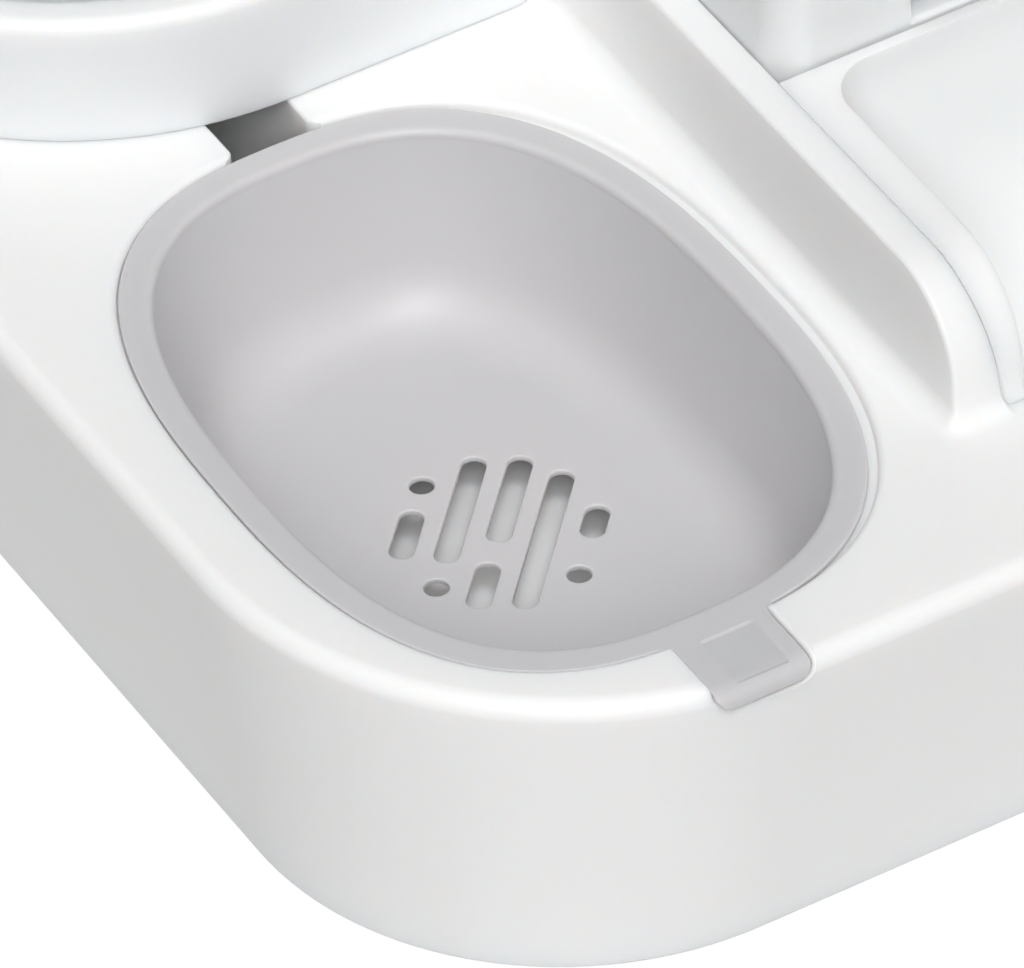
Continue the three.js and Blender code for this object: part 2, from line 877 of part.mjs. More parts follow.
// A three-legged cage on the cap's floor: it guides the stem and carries the spring's upper end.
function valveCage() {
  const foot = capInside + fit.seat;
  const roof = foot + valve.cageHeight;
  const outside = valve.cageRadius;
  const guide = valve.stemRadius + fit.slide;
  const shell = turned(cellX, dockY, [
    [outside - valve.cageWall, foot],
    [outside, foot],
    [outside, roof - valve.cageWall],
    [outside - valve.cageWall, roof],
    [guide, roof],
    [guide, roof - valve.cageWall],
    [outside - 2 * valve.cageWall, roof - valve.cageWall],
    [outside - valve.cageWall, roof - 2 * valve.cageWall],
    [outside - valve.cageWall, foot],
  ], 2 * roundSteps.pin);
  const pitch = 2 * Math.PI / valve.legs;
  const windows = Array.from({ length: valve.legs }, (_, i) => {
    const start = pitch * i;
    const end = start + pitch - valve.legWidth / outside;
    const fan = new THREE.Shape();
    fan.moveTo(0, 0);
    fan.absarc(0, 0, outside + overrun, start, end, false);
    fan.lineTo(0, 0);
    const window = upFromFloor(fan, foot + valve.cageWall, roof - 2 * valve.cageWall);
    return window.translate([cellX, dockY, 0]);
  });
  return cut(shell, ...windows);
}

const discFoot = capInside + valve.lift;

function valvePlunger() {
  const discTop = discFoot + valve.discThickness;
  return turned(cellX, dockY, [
    [0, valveSeatZ - valve.tipReach],
    [valve.tipRadius, valveSeatZ - valve.tipReach],
    [valve.tipRadius, discFoot - valve.washerThickness - fit.seat],
    [valve.tipRadius, discFoot],
    [valve.discRadius, discFoot],
    [valve.discRadius, discTop],
    [2 * valve.stemRadius, discTop],
    [valve.stemRadius, discTop + valve.stemRadius],
    [valve.stemRadius, discTop + valve.stemAbove],
    [0, discTop + valve.stemAbove],
  ], roundSteps.pin);
}

function valveWasher() {
  return flatRing(cellX, dockY, valve.tipRadius + fit.seat, valve.washerRadius,
    discFoot - fit.seat - valve.washerThickness, discFoot - fit.seat);
}

const springFoot = discFoot + valve.discThickness + fit.seat;
const springTop = capInside + fit.seat + valve.cageHeight - valve.cageWall - fit.seat;

class Helix extends THREE.Curve {
  getPoint(t, target = new THREE.Vector3()) {
    const angle = t * valve.springTurns * 2 * Math.PI;
    const low = springFoot + valve.springWire / 2;
    const high = springTop - valve.springWire / 2;
    return target.set(
      cellX + valve.springRadius * Math.cos(angle),
      dockY + valve.springRadius * Math.sin(angle),
      THREE.MathUtils.lerp(low, high, t),
    );
  }
}

function valveSpring() {
  const section = new THREE.Shape();
  for (let i = 0; i < roundSteps.wire; i += 1) {
    const angle = (i / roundSteps.wire) * 2 * Math.PI;
    const [x, y] = [Math.cos(angle) * valve.springWire / 2, Math.sin(angle) * valve.springWire / 2];
    if (i === 0) section.moveTo(x, y);
    else section.lineTo(x, y);
  }
  const geometry = new THREE.ExtrudeGeometry(section, {
    steps: Math.round(valve.springTurns * roundSteps.turn),
    extrudePath: new Helix(),
    bevelEnabled: false,
  });
  return solid(geometry);
}

// Food bowl

function foodBowl() {
  const footZ = top - well.depth + fit.seat;
  const rimZ = cheekTop - fit.slide;
  const frontY = cheekFront + fit.slide;
  const backY = wellBack - fit.slide;
  const innerFront = frontY + bowl.wall;
  const floorZ = footZ + bowl.wall;
  const lipZ = top + bowl.lipRise;
  const floorStart = innerFront + bowl.frontFillet;
  const floorEnd = floorStart + bowl.floorLength;
  const rampTop = backY - bowl.wall;
  const pullY = THREE.MathUtils.lerp(floorEnd, rampTop, bowl.rampPullShares.along);
  const pullZ = THREE.MathUtils.lerp(floorZ, rimZ, bowl.rampPullShares.up);
  const scoop = new THREE.Shape();
  scoop.moveTo(frontY - 2 * bowl.sideRound, lipZ);
  scoop.lineTo(innerFront, lipZ);
  scoop.lineTo(innerFront, floorZ + bowl.frontFillet);
  scoop.absarc(floorStart, floorZ + bowl.frontFillet, bowl.frontFillet, Math.PI, 1.5 * Math.PI, false);
  scoop.lineTo(floorEnd, floorZ);
  scoop.quadraticCurveTo(pullY, pullZ, rampTop, rimZ - bowl.wall);
  scoop.lineTo(rampTop, rimZ + 2 * bowl.sideRound);
  scoop.lineTo(frontY - 2 * bowl.sideRound, rimZ + 2 * bowl.sideRound);
  const under = new THREE.Shape();
  under.moveTo(floorEnd, footZ - overrun);
  under.lineTo(backY - bowl.wall, footZ - overrun);
  under.lineTo(backY - bowl.wall, rimZ - 6 * bowl.wall);
  under.quadraticCurveTo(pullY + bowl.wall, pullZ - bowl.wall, floorEnd + bowl.wall, footZ - fit.seat);
  const inset = cheek.draft + well.draft + fit.slide + bowl.wall;
  const outer = loft([footZ, top, rimZ].map((z) => wellRing(fit.slide, z)))
    .intersect(acrossX(cheekOutline(fit.slide, footZ), left, right))
    .intersect(block(left, right, frontY, backY, footZ, rimZ));
  return cut(
    outer,
    acrossX(scoop, bayLeft + inset, bayRight - inset, bowl.sideRound),
    acrossX(under, bayLeft + inset, bayRight - inset),
  );
}

// Hopper tower: its foot stands between the cheeks, its sides lean in towards the top

const towerFoot = top + fit.seat;
const splitZ = top + tower.splitHeight;
const tankTop = splitZ + tower.tankHeight;
const lidTop = tankTop + tower.lidHeight - tower.lipDepth / 2;
const towerEdges = { ...bayEdges, front: wellBack };

function towerInset(z) {
  const heights = [top, cheekTop, cheekTop + tower.flareHeight, splitZ, lidTop];
  const insets = [cheek.draft, 0, tower.flareInset, tower.splitInset, tower.topInset];
  let inset = insets[insets.length - 1];
  for (let i = heights.length - 1; i > 0; i -= 1) {
    const [low, high] = [heights[i - 1], heights[i]];
    if (z <= high) inset = THREE.MathUtils.mapLinear(z, low, high, insets[i - 1], insets[i]);
  }
  return inset;
}

function towerRing(grow, z) {
  const inset = towerInset(z) + fit.slide - grow;
  const frontRadius = Math.max(tower.frontRadius + grow, fit.seat);
  const backRadius = cheek.backRadius - towerInset(z) - fit.slide + grow;
  return bayRing(inset, frontRadius, backRadius, z, towerEdges);
}

function towerLoft(grow, ...heights) {
  return loft(heights.map((z) => towerRing(grow, z)));
}

function mouthOutline() {
  const half = bayRight - tower.mouthInset - bayX;
  const sill = cheekTop + tower.sillRise;
  const lintel = sill + tower.mouthHeight;
  const corner = tower.mouthCorner;
  const mouth = new THREE.Shape();
  mouth.moveTo(-half, sill);
  mouth.lineTo(half, sill);
  mouth.absarc(half - corner, lintel - corner, corner, 0, Math.PI / 2, false);
  mouth.absarc(-half + corner, lintel - corner, corner, Math.PI / 2, Math.PI, false);
  return mouth;
}

function hopperBase() {
  const flareZ = cheekTop + tower.flareHeight;
  const sill = cheekTop + tower.sillRise;
  const slopeEnd = splitZ - tower.lipDepth - tower.wall;
  const above = new THREE.Shape();
  above.moveTo(wellBack, sill);
  above.lineTo(bayBack, slopeEnd);
  above.lineTo(bayBack, splitZ + overrun);
  above.lineTo(wellBack, splitZ + overrun);
  const below = new THREE.Shape();
  below.moveTo(wellBack, towerFoot - overrun);
  below.lineTo(bayBack, towerFoot - overrun);
  below.lineTo(bayBack, slopeEnd - tower.wall);
  below.lineTo(wellBack, sill - tower.wall);
  const insideHeights = [towerFoot - overrun, top, cheekTop, flareZ, splitZ, splitZ + overrun];
  const inside = towerLoft(-tower.wall, ...insideHeights);
  const mouthTool = new THREE.ExtrudeGeometry(mouthOutline(), {
    depth: 2 * overrun,
    bevelEnabled: false,
    curveSegments: roundSteps.hole,
  });
  mouthTool.rotateX(Math.PI / 2);
  mouthTool.translate(bayX, wellBack + 2 * overrun, 0);
  return cut(
    towerLoft(0, towerFoot, cheekTop, flareZ, splitZ),
    inside.intersect(acrossX(above, bayLeft, bayRight)),
    inside.intersect(acrossX(below, bayLeft, bayRight)),
    solid(mouthTool),
  );
}

const lipInset = tower.wall + fit.slide;
const skirtFoot = tankTop - tower.lipDepth;
const pinZ = skirtFoot - hinge.drop;
const tankBackY = bayBack - towerInset(pinZ) - fit.slide;
const pinY = tankBackY + hinge.standOff;

// The web reaches forward into the tank's wall; the tank's hollow trims it.
function tankEar(fromX, toX) {
  const barrel = crosswise(fromX, toX, pinY, pinZ, hinge.knuckleRadius);
  const web = block(fromX, toX, pinY - cheek.backRadius, pinY, pinZ - hinge.knuckleRadius, pinZ);
  return joined(barrel, web);
}

function foodTank() {
  const lipFoot = splitZ - tower.lipDepth;
  const half = hinge.lidKnuckle / 2 + fit.slide;
  return cut(
    joined(
      loft([
        towerRing(-lipInset, lipFoot),
        towerRing(-lipInset, splitZ + fit.seat),
        towerRing(0, splitZ + fit.seat),
        towerRing(0, skirtFoot - fit.seat),
        towerRing(-lipInset, skirtFoot - fit.seat),
        towerRing(-lipInset, tankTop),
      ]),
      tankEar(bayX - half - hinge.earLength, bayX - half),
      tankEar(bayX + half, bayX + half + hinge.earLength),
    ),
    loft([
      towerRing(-lipInset - tower.tankWall, lipFoot - overrun),
      towerRing(-lipInset - tower.tankWall, splitZ + tower.tankWall),
      towerRing(-tower.tankWall, splitZ + 2 * tower.tankWall),
      towerRing(-tower.tankWall, skirtFoot - 2 * tower.tankWall),
      towerRing(-lipInset - tower.tankWall, skirtFoot - tower.tankWall),
      towerRing(-lipInset - tower.tankWall, tankTop + overrun),
    ]),
    crosswise(bayLeft, bayRight, pinY, pinZ, hinge.pinRadius + hinge.pinGap),
  );
}

function hopperLid() {
  const shoulder = lidTop - lid.topEdgeRadius;
  const ceiling = tankTop + lid.sealHeight + 2 * fit.seat;
  const shell = cut(
    loft([
      towerRing(0, skirtFoot),
      ...edgeSteps(lid.topEdgeRadius).map(({ inset, rise }) => towerRing(-inset, shoulder + rise)),
    ]),
    loft([towerRing(-tower.wall, skirtFoot - overrun), towerRing(-tower.wall, ceiling)]),
  );
  const half = hinge.lidKnuckle / 2;
  const barrel = crosswise(bayX - half, bayX + half, pinY, pinZ, hinge.knuckleRadius);
  const web = block(bayX - half, bayX + half, tankBackY - tower.wall / 2, pinY + hinge.knuckleRadius, pinZ,
    skirtFoot + hinge.knuckleRadius);
  const spare = block(bayX - half - overrun, bayX + half + overrun, tankBackY - 2 * tower.wall,
    tankBackY + fit.seat, pinZ - hinge.knuckleRadius, skirtFoot);
  const lidFront = wellBack + towerInset(lidTop);
  const grip = loft([skirtFoot, skirtFoot + lid.gripThickness].map((z) => cornerRing(
    {
      left: bayX - lid.gripWidth / 2,
      right: bayX + lid.gripWidth / 2,
      front: lidFront - lid.gripReach,
      back: lidFront + tower.wall / 2,
    },
    [lid.gripReach, lid.gripReach, fit.seat, fit.seat],
    z,
  )));
  return cut(
    joined(shell, cut(joined(barrel, web), spare), grip),
    crosswise(bayLeft, bayRight, pinY, pinZ, hinge.pinRadius + hinge.pinGap),
  );
}

function lidSeal() {
  const foot = tankTop + fit.seat;
  return cut(
    loft([towerRing(-lipInset, foot), towerRing(-lipInset, foot + lid.sealHeight)]),
    loft([
      towerRing(-lipInset - lid.sealWidth, foot - overrun),
      towerRing(-lipInset - lid.sealWidth, foot + lid.sealHeight + overrun),
    ]),
  );
}

function hingePin() {
  const half = hinge.lidKnuckle / 2 + fit.slide + hinge.earLength;
  return crosswise(bayX - half, bayX + half, pinY, pinZ, hinge.pinRadius);
}

// Assembly

add('base_shell', baseShell(), 'white');
add('bottom_plate', bottomPlate(), 'white');
footPlaces.forEach(([name, x, y]) => add(name, rubberFoot(x, y), 'rubber'));
screwPlaces.forEach(([x, y], i) => add(`case_screw_${i + 1}`, caseScrew(x, y), 'steel'));
add('strainer_tray', strainerTray(), 'grey');
add('dock_collar', dockCollar(), 'white');
add('water_bottle', waterBottle(), 'clear');
add('bottle_cap', bottleCap(), 'grey');
add('cap_gasket', capGasket(), 'seal');
add('valve_cage', valveCage(), 'white');
add('valve_plunger', valvePlunger(), 'white');
add('valve_washer', valveWasher(), 'seal');
add('valve_spring', valveSpring(), 'steel');
add('food_bowl', foodBowl(), 'white');
add('hopper_base', hopperBase(), 'white');
add('food_tank', foodTank(), 'clear');
add('hopper_lid', hopperLid(), 'white');
add('lid_seal', lidSeal(), 'seal');
add('lid_hinge_pin', hingePin(), 'steel');

export default feeder;
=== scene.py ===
"""A counter-top feeder and waterer for a small pet.

The moulded base carries a drinking basin on the left, fed by an inverted bottle, and a food bowl on
the right, fed by a hopper tower. +X is right, +Y is back, +Z is up, and the origin is on the floor
under the middle of the base. Sizes are written in millimetres and become metres in each mesh.
"""

from math import atan2, copysign, cos, hypot, pi, radians, sin, sqrt
from types import SimpleNamespace as Sizes

import bmesh
import bpy
from mathutils import Matrix, Vector


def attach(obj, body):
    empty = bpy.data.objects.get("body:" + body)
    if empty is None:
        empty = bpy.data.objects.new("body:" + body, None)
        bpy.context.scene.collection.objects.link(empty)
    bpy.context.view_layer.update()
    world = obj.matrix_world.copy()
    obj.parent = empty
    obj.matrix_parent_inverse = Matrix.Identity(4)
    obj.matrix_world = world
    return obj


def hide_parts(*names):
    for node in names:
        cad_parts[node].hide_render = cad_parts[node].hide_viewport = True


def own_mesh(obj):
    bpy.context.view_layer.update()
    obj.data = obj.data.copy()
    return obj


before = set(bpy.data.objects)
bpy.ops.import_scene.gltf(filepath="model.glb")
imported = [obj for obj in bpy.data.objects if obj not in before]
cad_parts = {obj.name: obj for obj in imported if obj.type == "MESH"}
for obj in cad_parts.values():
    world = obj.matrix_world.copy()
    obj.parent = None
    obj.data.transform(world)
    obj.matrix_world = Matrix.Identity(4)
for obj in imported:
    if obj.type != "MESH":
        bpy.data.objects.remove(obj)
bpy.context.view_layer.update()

# Sizes

MM = 0.001
OVERRUN = 5
SKIM = 0.02

gap = Sizes(seat=0.3, slide=0.4, close=0.07)

base = Sizes(
    width=312, depth=340, height=66.8, wall=2.8, foot_inset=3.6, foot_edge=0.8, top_edge=4,
    front_corner_top=84.9, front_corner_foot=70.4, back_corner_top=60, back_corner_foot=46,
)
foot = Sizes(radius=9, proud=2, seat_depth=1.5, edge_inset=42, grooves=3, groove_depth=0.4, crown=1.5)
plate = Sizes(thickness=3, edge=0.6)
screw = Sizes(
    shank_radius=1.5, head_radius=3.1, head_height=1.6, counterbore=2, length=14, edge_inset=13,
    front_inset=20, boss_radius=4.2, cross_length=3.4, cross_width=0.7, cross_depth=0.9,
    cross_taper=0.6,
)
basin = Sizes(
    edge_margin=14.7, front_margin=18.05, half_width=61.05, half_length=85, roundness=2.62,
    front_fullness=0.017, ledge_width=5.5, floor_lift=14.8, sump_height=10.9, draft_run=2, fillet_run=9,
    fillet_drop=9, mouth_edge=1.6,
)
tray = Sizes(
    thickness=1.2, rim_depth=0.9, rim_width=4.7, rim_edge=0.4, side_play=1.9, roll_run=2, roll_drop=2.2,
    wall_run=7.2, fillet_run=15, fillet_drop=12,
)
tab = Sizes(
    width=21, front_inset=0.4, bend_run=5, bend_drop=4, corner_radius=4, edge=0.5, root_fillet=2,
    least_corner=0.05, pad_width=12.4, pad_shift=0.7, pad_start=5.8, pad_length=14.1, pad_depth=0.4,
    pad_edge=0.7, pad_corner=1.2, notch_edge=0.9, notch_end=0.4, notch_side=0.15,
)
drain = Sizes(width=5, pitch=8.9, reach=22.6, angle=48, edge=0.5)
DRAIN_SLOTS = (
    (-2, -0.478, 0.157),
    (-1, -0.466, 0.925),
    (0, -0.133, 1),
    (0, -1, -0.403),
    (1, -0.938, 0.872),
    (2, 0.053, 0.478),
)
DRAIN_DOTS = ((-2, 0.488), (-1, -0.79), (2, -0.426))
cheek = Sizes(
    gap=6.3, thickness=7.4, height=29.8, front_inset=41.64, draft=3.7, nose_radius=20, back_radius=40,
    edge=1.1, inner_edge=0.35, foot_fillet=4.5,
)
bay = Sizes(right_inset=22.1, back_inset=17.7)
well = Sizes(length=76.4, depth=40, draft=1.2)
bowl = Sizes(
    wall=2.6, lip_rise=2.4, front_fillet=13, floor_length=17, side_round=11, pull_along=0.66,
    pull_up=0.07, ramp_head=6, rim_edge=0.35, lip_edge=0.8, foot_edge=2,
)
channel = Sizes(width=17.2, depth=34, edge=1, mouth_fillet=2.2)
dock = Sizes(radius=34, post_radius=4, edge=0.6)
collar = Sizes(
    edge_inset=3.35, cheek_gap=2, cell_gap=8.65, height=29.8, wall=2.5, top_edge=3, foot_edge=0.4,
    front_radius=82, corner_radius=4, ring_gap=0.5, ring_wall=2.2, ring_drop=4, seat_depth=3,
    seat_edge=0.6,
)
bottle = Sizes(
    inset=8, height=224, wall=1.8, taper=2.5, top_edge=9, foot_edge=5, side_corner=18, neck_radius=18.6,
    neck_length=42, thread_height=0.32, thread_pitch=4, thread_foot=57, thread_top=69, thread_fade=4,
)
cap = Sizes(
    wall=2, floor_thickness=2.5, skirt_height=20, gasket_thickness=1.4, grips=16, grip_radius=0.9,
    edge=1,
)
valve = Sizes(
    hole_radius=6.5, lift=3.5, disc_radius=9, disc_thickness=2, washer_thickness=1.2, washer_radius=8.6,
    stem_radius=2, tip_radius=3.2, tip_reach=2.4, stem_above=13.5, cage_radius=13, cage_wall=1.6,
    cage_height=16.5, legs=3, leg_width=5, spring_radius=4.4, spring_wire=0.9, spring_turns=4.5,
    spring_closed_share=0.615,
)
tower = Sizes(
    wall=2.6, split_height=126, tank_height=118, lid_height=12, flare_height=20, flare_inset=2.1,
    split_inset=5, top_inset=7.5, front_radius=8, lip_depth=8, tank_wall=2, mouth_inset=31.7,
    mouth_height=33, mouth_corner=10, mouth_edge=1.2, sill_rise=1,
)
lid = Sizes(top_edge=5, seal_height=2, seal_width=2.4, grip_width=34, grip_reach=7, grip_thickness=3)
hinge = Sizes(
    pin_radius=1.5, pin_gap=0.2, knuckle_radius=3.6, stand_off=4.6, lid_knuckle=40, ear_length=10,
    drop=2, edge=0.4,
)

ARC_STEPS = 32
EDGE_STEPS = 8
CELL_POINTS = 176
CROSS_STEPS = 2
BLOCK_STEPS = 3
SOFT_STEPS = 4
HOLE_STEPS = 16
CURVE_STEPS = 14
TONGUE_STEPS = 40
NECK_STEPS = 40
CAP_STEPS = 48
WELD_DISTANCE = 0.0000005
SHARP_ANGLE = 38

# Places that follow from the sizes

LEFT, RIGHT = -base.width / 2, base.width / 2
FRONT, BACK = -base.depth / 2, base.depth / 2
UNDERSIDE = foot.proud
TOP = UNDERSIDE + base.height
CELL_X = LEFT + basin.edge_margin + basin.half_width
CELL_Y = FRONT + basin.front_margin + basin.half_length
POCKET_DEPTH = base.height - basin.floor_lift
TRAY_FLOOR_DEPTH = POCKET_DEPTH - basin.sump_height - tray.thickness
CHEEK_LEFT = LEFT + basin.edge_margin + 2 * basin.half_width + cheek.gap
BAY_LEFT = CHEEK_LEFT + cheek.thickness
BAY_RIGHT = RIGHT - bay.right_inset
BAY_X = (BAY_LEFT + BAY_RIGHT) / 2
BAY_BACK = BACK - bay.back_inset
CHEEK_FRONT = FRONT + cheek.front_inset
CHEEK_TOP = TOP + cheek.height
WELL_BACK = CHEEK_FRONT + well.length
COLLAR_FRONT = CELL_Y + basin.half_length + collar.cell_gap
COLLAR_BACK = BACK - collar.edge_inset
COLLAR_TOP = TOP + collar.height
DOCK_Y = (COLLAR_FRONT + COLLAR_BACK) / 2
BOTTLE_FOOT = COLLAR_TOP - collar.seat_depth + gap.seat
NECK_END = BOTTLE_FOOT - bottle.neck_length
CAP_INSIDE = NECK_END - cap.gasket_thickness - 2 * gap.seat
VALVE_SEAT = CAP_INSIDE - cap.floor_thickness
DISC_FOOT = CAP_INSIDE + valve.lift
TOWER_FOOT = TOP + gap.seat
SPLIT = TOP + tower.split_height
TANK_TOP = SPLIT + tower.tank_height
LID_TOP = TANK_TOP + tower.lid_height - tower.lip_depth / 2
SKIRT_FOOT = TANK_TOP - tower.lip_depth

BASE_EDGES = (LEFT, RIGHT, FRONT, BACK)
WELL_EDGES = (BAY_LEFT, BAY_RIGHT, CHEEK_FRONT - cheek.draft, WELL_BACK + cheek.draft)
TOWER_EDGES = (BAY_LEFT, BAY_RIGHT, WELL_BACK, BAY_BACK)
COLLAR_EDGES = (LEFT + collar.edge_inset, CHEEK_LEFT - collar.cheek_gap, COLLAR_FRONT, COLLAR_BACK)

SCREW_PLACES = (
    (CHEEK_LEFT + cheek.thickness / 2, FRONT + screw.front_inset),
    (CHEEK_LEFT + cheek.thickness / 2, BACK - screw.front_inset),
    (RIGHT - screw.edge_inset, (CHEEK_FRONT + WELL_BACK) / 2),
    (RIGHT - screw.edge_inset, (WELL_BACK + BAY_BACK) / 2),
    (LEFT + screw.edge_inset, COLLAR_FRONT),
    (LEFT + foot.edge_inset / 2 + screw.boss_radius, BACK - foot.edge_inset),
)
FOOT_PLACES = {
    "front_left": (LEFT + foot.edge_inset, FRONT + foot.edge_inset),
    "front_right": (RIGHT - foot.edge_inset, FRONT + foot.edge_inset),
    "back_left": (LEFT + foot.edge_inset, BACK - foot.edge_inset),
    "back_right": (RIGHT - foot.edge_inset, BACK - foot.edge_inset),
}

# Camera, set at the photograph's viewing angle with a long lens

VIEW_TARGET = Vector((-0.091766, -0.094021, 0.067))
VIEW_YAW, VIEW_ELEVATION, VIEW_ROLL = (radians(a) for a in (28.687, 41.479, -2.869))
VIEW_DISTANCE = 2.9839
LENS, SENSOR_WIDTH = 546.14, 36
CLIP_START, CLIP_END = 0.1, 100


def place_camera():
    """Looks along the yaw and down by the elevation, and is then rolled about its own line."""
    ahead = Vector((
        sin(VIEW_YAW) * cos(VIEW_ELEVATION),
        cos(VIEW_YAW) * cos(VIEW_ELEVATION),
        -sin(VIEW_ELEVATION),
    ))
    level = Vector((cos(VIEW_YAW), -sin(VIEW_YAW), 0))
    upright = level.cross(ahead)
    across = cos(VIEW_ROLL) * level + sin(VIEW_ROLL) * upright
    up = cos(VIEW_ROLL) * upright - sin(VIEW_ROLL) * level
    lens = bpy.data.cameras.new("camera")
    lens.lens, lens.sensor_width = LENS, SENSOR_WIDTH
    lens.clip_start, lens.clip_end = CLIP_START, CLIP_END
    camera = bpy.data.objects.new("camera", lens)
    turn = Matrix((across, up, -ahead)).transposed().to_4x4()
    camera.matrix_world = Matrix.Translation(VIEW_TARGET - VIEW_DISTANCE * ahead) @ turn
    bpy.context.scene.collection.objects.link(camera)
    bpy.context.scene.camera = camera


# Outlines


def lerp(start, end, share):
    return start + (end - start) * share


def along(steps):
    """Shares from 0 to 1, both ends included."""
    return [step / steps for step in range(steps + 1)]


def mirrored(side):
    """The right half of an outline with its left half after it."""
    return side + [(-x, y) for x, y in reversed(side)]


def inset_edges(edges, inset):
    left, right, front, back = edges
    return (left + inset, right - inset, front + inset, back - inset)


def corner_ring(edges, radii, z, steps=ARC_STEPS):
    """A level ring. The radii are for the front left, front right, back right and back left."""
    left, right, front, back = edges
    centres = (
        (left + radii[0], front + radii[0]),
        (right - radii[1], front + radii[1]),
        (right - radii[2], back - radii[2]),
        (left + radii[3], back - radii[3]),
    )
    ring = []
    for corner, (x, y) in enumerate(centres):
        for share in along(steps):
            angle = pi + (corner + share) * pi / 2
            ring.append((x + radii[corner] * cos(angle), y + radii[corner] * sin(angle), z))
    return ring


def round_ring(x, y, radius, z, steps=ARC_STEPS):
    return corner_ring((x - radius, x + radius, y - radius, y + radius), (radius,) * 4, z, steps)


def quarter(steps=EDGE_STEPS):
    """Angles from 0 to a right angle."""
    return [share * pi / 2 for share in along(steps)]


def rounded_edge(radius, steps=EDGE_STEPS):
    """(inset, rise) pairs up a rounded edge, from the upright face to the level one."""
    return [(radius * (1 - cos(a)), radius * sin(a)) for a in quarter(steps)]


def hollow_edge(run, rise):
    """(run, rise) pairs of a hollow quarter, from the level face to the upright one."""
    return [(run * (1 - sin(a)), rise * (1 - cos(a))) for a in quarter()]


def full_turn(steps):
    """Angles all the way round."""
    return [step / steps * 2 * pi for step in range(steps)]


def round_top(edge, top_z, steps=EDGE_STEPS):
    """(inset, height) pairs up a rounded edge that ends at a height."""
    return [(inset, top_z - edge + rise) for inset, rise in rounded_edge(edge, steps)]


def round_foot(edge, foot_z, steps=EDGE_STEPS):
    """(inset, height) pairs up a rounded edge that starts at a height."""
    return [(inset, foot_z + edge - rise) for inset, rise in reversed(rounded_edge(edge, steps))]


def soft_section(near, far, foot_z, top_z, edge):
    """A rectangle in (across, height) with four soft edges, up the near side and down the far one."""
    way = copysign(1, far - near)
    rise = round_foot(edge, foot_z, SOFT_STEPS) + round_top(edge, top_z, SOFT_STEPS)
    return [(near + way * i, z) for i, z in rise] + [(far - way * i, z) for i, z in reversed(rise)]


def curve(start, pull, end, steps=CURVE_STEPS):
    """Points on a quadratic curve."""
    points = []
    for t in along(steps):
        a, b, c = (1 - t) ** 2, 2 * t * (1 - t), t ** 2
        points.append(tuple(a * s + b * p + c * e for s, p, e in zip(start, pull, end)))
    return points


def paired_ring(edges, inset, front_radius, back_radius, z):
    """A level ring with one radius for its front corners and one for its back corners."""
    radii = (front_radius, front_radius, back_radius, back_radius)
    return corner_ring(inset_edges(edges, inset), radii, z)


def side_ring(grow, z):
    """The base's side leans in towards the floor."""
    share = (z - UNDERSIDE) / (base.height - base.top_edge)
    front_radius = lerp(base.front_corner_foot, base.front_corner_top, share)
    back_radius = lerp(base.back_corner_foot, base.back_corner_top, share)
    inset = base.foot_inset * (1 - share) - grow
    return paired_ring(BASE_EDGES, inset, front_radius + grow, back_radius + grow, z)


def cell_ring(inset, depth):
    """The drinking cell's outline, a squared oval a little fuller at the front."""
    ring = []
    for angle in full_turn(CELL_POINTS):
        power = 2 / basin.roundness
        across = copysign(abs(cos(angle)) ** power, cos(angle))
        lengthwise = copysign(abs(sin(angle)) ** power, sin(angle))
        fullness = 1 - basin.front_fullness * lengthwise
        ring.append((
            CELL_X + (basin.half_width - inset) * across * fullness,
            CELL_Y + (basin.half_length - inset) * lengthwise,
            TOP - depth,
        ))
    return ring


def tray_ring(inset, depth):
    """The tray keeps to the cell's left side and leaves some play on the right."""
    play = tray.side_play / 2
    narrow = (basin.half_width - play) / basin.half_width
    return [(CELL_X - play + (x - CELL_X) * narrow, y, z) for x, y, z in cell_ring(inset, depth)]


def bay_draft(z):
    """How far the sides of the food bay draw in at a height."""
    if z > TOP:
        return cheek.draft * max(1 - (z - TOP) / cheek.height, 0)
    return cheek.draft + well.draft * min((TOP - z) / well.depth, 1)


def well_ring(inset, z):
    corner = max(bowl.wall - inset, gap.seat)
    return paired_ring(WELL_EDGES, bay_draft(z) + inset, corner, corner, z)


def collar_ring(inset, z):
    radii = (
        collar.front_radius - inset,
        max(collar.corner_radius - inset, gap.seat),
        max(collar.corner_radius - inset, gap.seat),
        base.back_corner_top - collar.edge_inset - inset,
    )
    return corner_ring(inset_edges(COLLAR_EDGES, inset), radii, z)


def bottle_ring(inset, z):
    radii = (
        collar.front_radius - bottle.inset - inset,
        bottle.side_corner - inset,
        bottle.side_corner - inset,
        base.back_corner_top - collar.edge_inset - bottle.inset - inset,
    )
    return corner_ring(inset_edges(COLLAR_EDGES, bottle.inset + inset), radii, z)


def tower_inset(z):
    heights = (TOP, CHEEK_TOP, CHEEK_TOP + tower.flare_height, SPLIT, LID_TOP)
    insets = (cheek.draft, 0, tower.flare_inset, tower.split_inset, tower.top_inset)
    for i in range(1, len(heights)):
        if z <= heights[i]:
            share = (z - heights[i - 1]) / (heights[i] - heights[i - 1])
            return lerp(insets[i - 1], insets[i], share)
    return insets[-1]


def tower_ring(grow, z):
    inset = tower_inset(z) + gap.slide - grow
    front_radius = max(tower.front_radius + grow, gap.seat)
    back_radius = cheek.back_radius - tower_inset(z) - gap.slide + grow
    return paired_ring(TOWER_EDGES, inset, front_radius, back_radius, z)


LIP_INSET = tower.wall + gap.slide
PIN_Z = SKIRT_FOOT - hinge.drop
TANK_BACK_Y = BAY_BACK - tower_inset(PIN_Z) - gap.slide
PIN_Y = TANK_BACK_Y + hinge.stand_off

# Meshes


